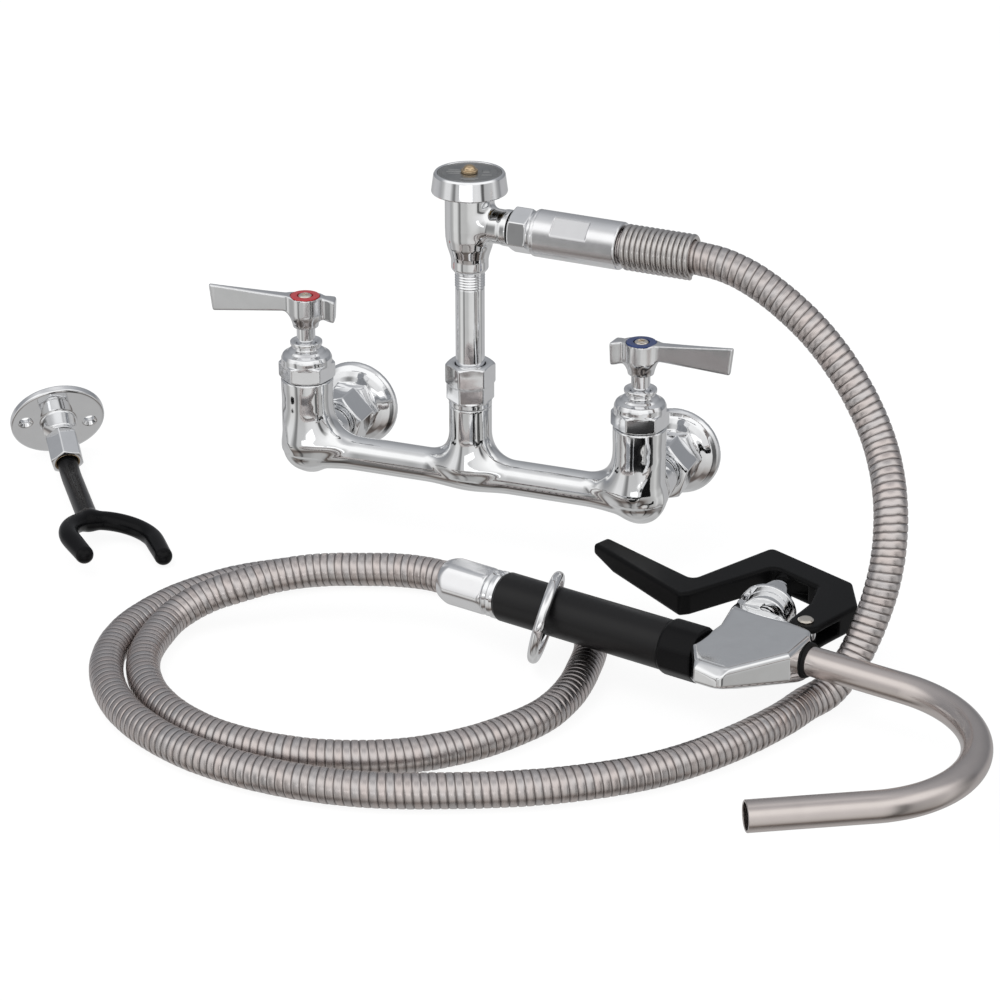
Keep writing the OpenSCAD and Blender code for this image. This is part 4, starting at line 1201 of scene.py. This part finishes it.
# v, w, corner radius
BODY_VW, _ = rounded([
    (-3, -13, 4), (34, -13, 2), (50, -8, 2), (60, -8, 0.5), (60, 8, 0.5), (50, 8, 2),
    (34, 13, 1.2), (-27, 13, 4), (-33.5, 8, 4), (-33.5, 3, 2), (-31, 1.5, 2)], steps=3)
# r, z, corner radius
PUSH_ROD = [(0, -31, 0), (2.5, -31, 0.3), (2.5, -10.5, 0.3), (7.5, -10.5, 0.3),
            (7.5, -7.5, 0.3), (2.5, -7.5, 0.2), (2.5, 20, 0.2), (3.5, 20, 0.2), (3.5, 35, 0.4),
            (2.2, 37.9, 0.6), (0, 37.9, 0)]


def valve_field(points):
    u, v, w = points.T
    off_stem, along_stem = polar(on_stem(points))
    off_pin = dist(u - PIN_U, v - PIN_V)
    off_nozzle = dist(v - NOZZLE_V, w)
    body = meet(4.2, polygon(u, v, BODY_UV), np.abs(w) - 13.0)
    body = meet(1.2, body, polygon(v, w, BODY_VW))
    body = meet(2.0, body, (0.42 * u - 0.39 * v - 22.1 - w) / 1.153)     # sloping facet
    body = join(1.5, body, plug(0.6, off_stem, 12.9, along_stem, -7, 1.5))
    # Room for the lever's two cheeks, either side of a lug that holds the pin
    body = cut(0.5, body, meet(0.3, off_pin - 9.5, 3.35 - np.abs(w)))
    lug = np.minimum(off_pin - 6.3, plug(0.5, np.abs(u - 30.75), 5.6, v, 33, 54))
    body = join(0.6, body, meet(0.6, lug, np.abs(w) - 3.3))
    return cut(0.3, body, plug(0.3, dist(v, w), 6.5, u, high=21),
               plug(0.3, off_stem, 7.6, along_stem, low=-44),
               plug(0.3, off_nozzle, 8.0, u, low=30), plug(0.3, off_nozzle, 9.65, u, low=44.6),
               off_pin - 2.52)


def valve_bonnet_field(points):
    """A cone with six tapering flats, a foot flange and a short top boss."""
    r, z = polar(points)
    cone = (r - (15.2 - (z - 4.6) * 0.300)) * 0.95
    flats = prism(points[:, 0], points[:, 1], 26.2 - 0.50 * (z - 4.6), 0.6,
                  turn=math.radians(45)) * 0.97
    body = meet(1.0, cone, flats, z - 26.5, 3 - z)
    body = join(1.2, body, plug(0.6, r, 6.5, z, 20, 30.6))
    body = join(0.9, body, plug(0.6, r, 16.1, z, 1.7, 4.5))
    return cut(0.3, body, plug(0.3, r, 10.6, z, high=6.0), plug(0.3, r, 7.6, z, high=22),
               r - 3.75)


ob = solid("valve_casting", valve_field, ((-16, -35, -13.5), (49, 68, 13.5)), 0.72, VALVE)
dress(ob, "chrome_cast", "spray_valve", "valve_body")
ob = solid("valve_bonnet_cone", valve_bonnet_field, about_z(16.4, 1.4, 30.9), 0.5, STEM)
dress(ob, "chrome", "spray_valve", "valve_bonnet")
ob = lathe("valve_push_rod", PUSH_ROD, STEM, 48)
dress(ob, "chrome", "plunger", "valve_plunger")

# ---------------------------------------------------------------- trigger
# u, v, corner radius
TRIGGER, _ = rounded([
    (-113.6, 71, 1.6), (-40.8, 42.6, 2.0), (-36.8, 47.5, 2.5), (-15.8, 101.1, 5),
    (15.4, 93, 3), (21.6, 73.2, 3), (22, 44.4, 8.2), (39.4, 44.4, 8.2), (41, 58.5, 6),
    (45.2, 84.2, 5), (28.6, 108.2, 4), (-29.6, 122.7, 4), (-45.6, 64.3, 4),
    (-108.5, 81.7, 3), (-111.6, 81.9, 1.6)], steps=6)
# r, z, corner radius
RIVET = [(0, -8.5, 0), (3.4, -8.5, 0.3), (4.2, -7.2, 0.3), (2.5, -7.05, 0.1), (2.5, 7.1, 0.1),
         (4.4, 7.1, 0.2), (4.3, 7.9, 0.4), (3.4, 8.5, 0.6), (2.0, 8.62, 0.6), (0, 8.5, 0)]


def trigger_field(points):
    u, v, w = points.T
    underside = np.interp(u, [-114, -97, -44, -20, 60], [0.5, -4.4, -6.4, -7.0, -7.0])
    body = meet(2.4, polygon(u, v, TRIGGER), w - 7.0, (underside - w) * 0.97)
    # Slot between the cheeks, then the pin hole
    body = cut(0.8, body, meet(0.8, 15.5 - u, u - 45.5, v - 68.4, np.abs(w) - 3.6))
    body = cut(0.6, body, dist(u - PIN_U, v - PIN_V) - 2.58)
    # Pocket over the stem, with a round pad at its top
    stem = on_stem(points)
    across, along = stem[:, 0], stem[:, 2]
    body = cut(0.5, body, meet(0.5, across - 16.0, -4.2 - across, along - 38.45, 20 - along,
                               np.abs(w) - 4.2))
    pad = plug(0.5, dist(across, stem[:, 1]), 5, along, 38.5, 44)
    return join(0.5, body, meet(0.5, pad, np.abs(w) - 6.6))


ob = solid("trigger_shell", trigger_field, ((-113, 41, -7.4), (46, 124, 7.4)), 0.78, VALVE)
dress(ob, "black_lever", "trigger", "trigger_lever")
ob = lathe("trigger_rivet", RIVET, VALVE.moved((PIN_U, PIN_V, 0)), 64)
dress(ob, "screw_steel", "spray_valve", "trigger_pin", slot="chrome")

# ---------------------------------------------------------------- nozzle
TUBE_RADIUS, TUBE_BORE = 7.95, 6.7
TUBE_START, BEND_START = 30.4, 103.2          # u
BEND_RADIUS, BEND_ANGLE = 66.2, math.radians(137.5)
TUBE_TAIL = 62.7 - 0.35                       # straight after the bend, less the end lip
BUSHING = [(8.0, 0, 0.1), (9.6, 0, 0.2), (9.6, 3.2, 0.6), (9.0, 4.3, 0.5), (8.0, 4.3, 0.1)]

centres = [[u, NOZZLE_V, 0] for u in np.linspace(TUBE_START, BEND_START, 8)[:-1]]
ways = [[1, 0, 0]] * 7
for a in np.linspace(0, BEND_ANGLE, 64):
    centres.append([BEND_START + BEND_RADIUS * math.sin(a),
                    NOZZLE_V - BEND_RADIUS + BEND_RADIUS * math.cos(a), 0])
    ways.append([math.cos(a), -math.sin(a), 0])
bend_end, way = np.array(centres[-1]), np.array(ways[-1])
centres += [list(bend_end + way * d) for d in np.linspace(0, TUBE_TAIL, 8)[1:]]
ways += [list(way)] * 7
ob = sweep("pour_nozzle", VALVE.point(centres), VALVE.way(ways), TUBE_RADIUS, 72,
           inner=TUBE_BORE)
dress(ob, "nozzle_steel", "spray_valve", "nozzle_tube")
ob = lathe("nozzle_bushing", BUSHING, GRIP.moved((0, NOZZLE_V, 44.7)), 72, closed=True)
dress(ob, "black_rubber", "spray_valve", "nozzle_gland")

# ---------------------------------------------------------------- ring round the grip
RING_RADIUS, RING_WIRE = 23.0, 2.9
dip, yaw = math.radians(12.8), math.radians(20.7)
ring_z = VALVE.way([math.cos(dip) * math.cos(yaw), math.cos(dip) * math.sin(yaw),
                    -math.sin(dip)])
ring_x = VALVE.way([-math.sin(yaw), math.cos(yaw), 0])
ring_frame = Frame(VALVE.point([-98, 0, -5.3]), ring_x, np.cross(ring_z, ring_x), ring_z)
t = np.arange(28) * 2 * math.pi / 28
section = np.stack([np.cos(t), np.sin(t)], 1)
ob = spin("hold_loop", section * RING_WIRE + (RING_RADIUS, 0), section, ring_frame, 160,
          closed=True)
dress(ob, "chrome_ring", "ring", "hold_ring")

# ---------------------------------------------------------------- hook plate and nut
HOLE_TURN = math.radians(83)
HOLE_CIRCLE = 20
ROD_HOLE = 4.06
SOCKET = [(6.3, 29.8, 0.1), (7.55, 29.8, 0.1), (7.55, 34.0, 0.2), (7.1, 34.3, 0.1),
          (6.3, 33.6, 0.2)]


def hook_plate_field(points):
    x, y, z = points.T
    r = dist(x, y)
    plate = meet(0.8, plug(0.8, r, 28.9, z, -3.2, 1.4), (z - 1.5) * 0.8 + (r - 28.1) * 0.6)
    boss = meet(0.5, (r - (10.8 - 0.06 * z)) * 0.99, z - 11.6, -1 - z)
    body = join(1.6, plate, join(0.5, boss, plug(0.5, r, 9.7, z, 1, 13.7)))
    for side in (1, -1):    # countersunk screw holes
        off_hole = dist(x - side * HOLE_CIRCLE * math.cos(HOLE_TURN),
                        y - side * HOLE_CIRCLE * math.sin(HOLE_TURN)) - 2.6
        body = cut(0.35, body, off_hole, (off_hole - (z + 0.6)) * 0.72)
    return cut(0.3, body, r - ROD_HOLE)


def hook_nut_field(points):
    r, z = polar(points)
    body = hex_nut(points, 18.4, 13.85, 34.6, 0.6, 0.5, inset=0.1, turn=math.radians(14))
    return cut(0.35, body, r - ROD_HOLE, plug(0.3, r, 7.6, z, low=29.6))


ob = solid("hook_plate", hook_plate_field, about_z(29.8, -3.4, 14.2), 0.6, HOOK)
dress(ob, "chrome", "faucet", "hook_flange")
ob = solid("hook_hex", hook_nut_field, about_z(11.2, 13.6, 34.8), 0.45, HOOK)
dress(ob, "chrome", "faucet", "hook_nut")
ob = lathe("hook_socket", SOCKET, HOOK, 48, closed=True)
dress(ob, "bronze", "faucet")

# ---------------------------------------------------------------- hook fork
FORK_ROLL, FORK_TILT, FORK_YAW = math.radians(12.1), math.radians(2.2), math.radians(44.6)
ARC_RADIUS, ARM_LENGTH = 25.47, 20.2
ARM_TURN = math.radians(4.4)                  # how far the arc runs past the half turn
ROD_RADIUS, FORK_RADIUS = 6.15, 5.62

roll = np.array([[math.cos(FORK_ROLL), 0, math.sin(FORK_ROLL)], [0, 1, 0],
                 [-math.sin(FORK_ROLL), 0, math.cos(FORK_ROLL)]])
pitch = np.array([[1, 0, 0], [0, math.cos(FORK_TILT), -math.sin(FORK_TILT)],
                  [0, math.sin(FORK_TILT), math.cos(FORK_TILT)]])
FORK = Frame((-189.7, -155.17, -38.37), *(rotation_z(FORK_YAW) @ pitch @ roll).T)

# The rod leaves the nut along its axis and bends to the fork's arc.
rod_start, rod_corner = HOOK_AT + HOOK_WAY * 30.0, HOOK_AT + HOOK_WAY * 43.0
rod_end = FORK.point([ARC_RADIUS * math.sin(math.radians(-15)),
                      ARC_RADIUS * math.cos(math.radians(15)), 0])
rod_way = unit(rod_end - rod_corner)
bend_start, bend_end = HOOK_AT + HOOK_WAY * 36, rod_corner + rod_way * 14
bend = [bend_start * (1 - t) ** 2 + 2 * rod_corner * t * (1 - t) + bend_end * t * t
        for t in np.linspace(0, 1, 9)]
rod = [rod_start] + bend + [rod_end - rod_way * 1.0]


def hook_field(points):
    bar = np.minimum.reduce([segment_distance(points, a, b) for a, b in zip(rod[:-1], rod[1:])])
    bar = cut(0.8, bar - ROD_RADIUS, (points - HOOK_AT) @ HOOK_WAY - 30.2)
    x, y, z = FORK.local(points).T
    x = np.abs(x)
    arc = dist(dist(x, y) - ARC_RADIUS, z)
    # The arms leave the arc a little past the half turn and close in.
    s, c = math.sin(ARM_TURN), math.cos(ARM_TURN)
    arm_x, arm_y = x - ARC_RADIUS * c, y + ARC_RADIUS * s
    along = np.clip(arm_x * -s + arm_y * -c, 0, ARM_LENGTH)
    arms = (np.sqrt((arm_x + along * s) ** 2 + (arm_y + along * c) ** 2 + z ** 2)
            + 0.35 * smooth(along / ARM_LENGTH))
    past_arc = (x * s + y * c) < 0
    return join(3.4, bar, np.where(past_arc, arms, arc) - FORK_RADIUS)


extent = [rod_start, rod_corner, rod_end] + [
    FORK.point([side * ARC_RADIUS, y, 0])
    for side in (-1, 0, 1) for y in (-ARM_LENGTH - 3, 0, ARC_RADIUS)]
hook_box = np.minimum.reduce(extent) - 6.6, np.maximum.reduce(extent) + 6.6
ob = solid("hook_dip", hook_field, hook_box, 0.75, WORLD)
dress(ob, "black_vinyl", "hook_fork", "hook_coating")

# ---------------------------------------------------------------- return spring
# A coil round the stem on the valve body, with a mesh of its own.
ob = coil("return_spring", STEM, radius=5.6, pitch=4.2, turns=6, per_turn=40, base=-38,
          wire=0.88, sides=10)
dress(ob, "spring_steel", "spray_valve", "valve_spring")
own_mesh(ob)

# ---------------------------------------------------------------- CAD nodes that stay
KEPT = {
    "brass": ("cartridge_bodies", "breaker_guide", "grip_tube"),
    "black_rubber": ("union_washers", "cartridge_seals", "riser_washer", "breaker_float",
                     "valve_seat", "hose_liner", "hose_inlet_liner", "hose_end_liner"),
    "ceramic": ("lower_discs", "hot_upper_disc", "cold_upper_disc"),
    "spring_steel": ("hook_rod",),
}
for material, names in KEPT.items():
    for name in names:
        slots = frame["nodes"][name].data.materials
        slots.clear()
        slots.append(materials[material])

# ---------------------------------------------------------------- camera
CAMERA_AT = (0.6063, -1.6097, 0.7291)         # metres
CAMERA_RIGHT = (0.93395, 0.35741, 0.0)
CAMERA_BACK = (0.3256, -0.8509, 0.4121)       # from the scene to the camera

lens = bpy.data.cameras.new("cam")
camera = add_object("cam", lens)
lens.sensor_fit = "HORIZONTAL"
lens.sensor_width = 36
lens.lens = 113.155
lens.clip_start = 0.05
lens.clip_end = 50
back = unit(CAMERA_BACK)
right = np.array(CAMERA_RIGHT)
right = unit(right - back * (right @ back))
pose = np.eye(4)
pose[:3] = np.stack([right, np.cross(back, right), back, CAMERA_AT], 1)
camera.matrix_world = Matrix(pose.tolist())
scene.camera = camera

# ---------------------------------------------------------------- world
# Degrees above the horizon, brightness: on the camera's side and on the far side
NEAR_SIDE = [
    (-90, 0.46), (-62, (0.50, 0.495, 0.49)), (-54, (0.20, 0.17, 0.155)),
    (-49, (0.16, 0.14, 0.13)), (-44, (0.42, 0.39, 0.37)), (-34, (0.66, 0.65, 0.64)),
    (-20, (0.80, 0.80, 0.79)), (-8, 0.84), (6, (0.88, 0.88, 0.885)), (20, 1.0), (32, 1.14),
    (54, 1.16), (63, (0.80, 0.80, 0.81)), (76, (0.58, 0.585, 0.60)), (90, (0.62, 0.62, 0.63))]
FAR_SIDE = [
    (-90, 0.60), (-45, 0.58), (-12, (0.55, 0.55, 0.56)), (2, (0.30, 0.31, 0.33)),
    (14, (0.33, 0.34, 0.36)), (40, (0.40, 0.41, 0.43)), (66, (0.60, 0.61, 0.63)),
    (80, (0.95, 0.95, 0.96)), (90, 1.0)]
# Degrees round from the camera, positive to its right, brightness
STRIPS = [
    (-180, 0.95), (-150, 0.85), (-128, 1.0), (-108, 1.0), (-96, 0.62), (-86, 0.62), (-76, 0.98),
    (-60, 0.96), (-50, 0.30), (-45, 0.26), (-40, 0.72), (-16, 0.70), (-4, 0.92), (22, 1.0),
    (33, 0.90), (37, 0.16), (43, 0.12), (46.5, 0.58), (72, 0.70), (80, 0.92), (92, 0.60),
    (104, 0.58), (112, 0.95), (150, 0.85), (180, 0.95)]
# Degrees above the horizon, strength of the strips
STRIP_REACH = [(-75, 0.0), (-62, 1.0), (12, 1.0), (34, 0.0)]

world = bpy.data.worlds.new("studio")
scene.world = world
world.use_nodes = True
sky = world.node_tree
sky.nodes.clear()


def calc(operation, *values):
    return add(sky, "Math", dict(enumerate(values)), operation=operation)


def along(x_part, y_part):
    return calc("ADD", calc("MULTIPLY", sky_x, float(x_part)),
                calc("MULTIPLY", sky_y, float(y_part)))


def degree_ramp(factor, stops, span):
    return ramp(sky, factor, [(degrees / span + 0.5, colour) for degrees, colour in stops])


direction = add(sky, "TexCoord", out="Generated")
sky_x = add(sky, "SeparateXYZ", {0: direction})
sky_x, sky_y, sky_z = sky_x.node.outputs
near_x, near_y = unit(CAMERA_BACK[:2])
to_camera = along(near_x, near_y)
to_right = along(-near_y, near_x)
elevation = calc("ADD", calc("DIVIDE", calc("ARCSINE", sky_z), math.pi), 0.5)
azimuth = calc("ADD", calc("DIVIDE", calc("ARCTAN2", to_right, to_camera), 2 * math.pi), 0.5)
near_part = add(sky, "MapRange", {"Value": to_camera, "From Min": -0.30, "From Max": 0.12},
                interpolation_type="SMOOTHSTEP")
room = mix(sky, near_part, degree_ramp(elevation, FAR_SIDE, 180),
           degree_ramp(elevation, NEAR_SIDE, 180))
strips = mix(sky, degree_ramp(elevation, STRIP_REACH, 180), (1, 1, 1, 1),
             degree_ramp(azimuth, STRIPS, 360))
lighting = add(sky, "Background",
               {"Color": mix(sky, 1, room, strips, "MULTIPLY"), "Strength": 1.0})
backdrop = add(sky, "Background", {"Color": (1, 1, 1, 1)})    # plain white for the camera
camera_ray = add(sky, "LightPath", out="Is Camera Ray")
show(sky, add(sky, "MixShader", {0: camera_ray, 1: lighting, 2: backdrop}), "OutputWorld")

# ---------------------------------------------------------------- floor
FLOOR_Z, FLOOR_HALF = -50.35, 4000
floor = build("floor", [(x * FLOOR_HALF, y * FLOOR_HALF, FLOOR_Z)
                        for x, y in ((-1, -1), (1, -1), (1, 1), (-1, 1))], [[0, 1, 2, 3]])
# Mostly glowing, so that only a faint shade shows
floor_material, tree = new_material("floor_mat")
glow = add(tree, "Emission", {"Strength": 0.90})
matt = add(tree, "BsdfDiffuse", {"Color": (0.16, 0.16, 0.16, 1)})
show(tree, add(tree, "AddShader", {0: glow, 1: matt}))
floor.data.materials.append(floor_material)
floor.visible_glossy = False


# ---------------------------------------------------------------- lights
def area_light(name, width, height, energy, location, target):
    """A rectangular light facing its target; sizes and places in metres."""
    light = bpy.data.lights.new(name, "AREA")
    light.shape = "RECTANGLE"
    light.size = width
    light.size_y = height
    light.energy = energy
    ob = add_object(name, light)
    ob.location = location
    away = Vector(location) - Vector(target)
    ob.rotation_euler = away.to_track_quat("Z", "Y").to_euler()
    return ob


key = area_light("key", width=1.6, height=1.0, energy=9,
                 location=(-0.5, -0.9, 1.9), target=(0, -0.2, 0))
key.visible_glossy = False
strip = area_light("strip", width=1.5, height=0.28, energy=1.0,
                   location=(0.35, -2.1, 0.16), target=(0, -0.15, 0))
strip.visible_diffuse = False
strip.visible_camera = False

scene.view_settings.view_transform = "Standard"
scene.view_settings.look = "None"
scene.view_settings.exposure = 0
scene.view_settings.gamma = 1
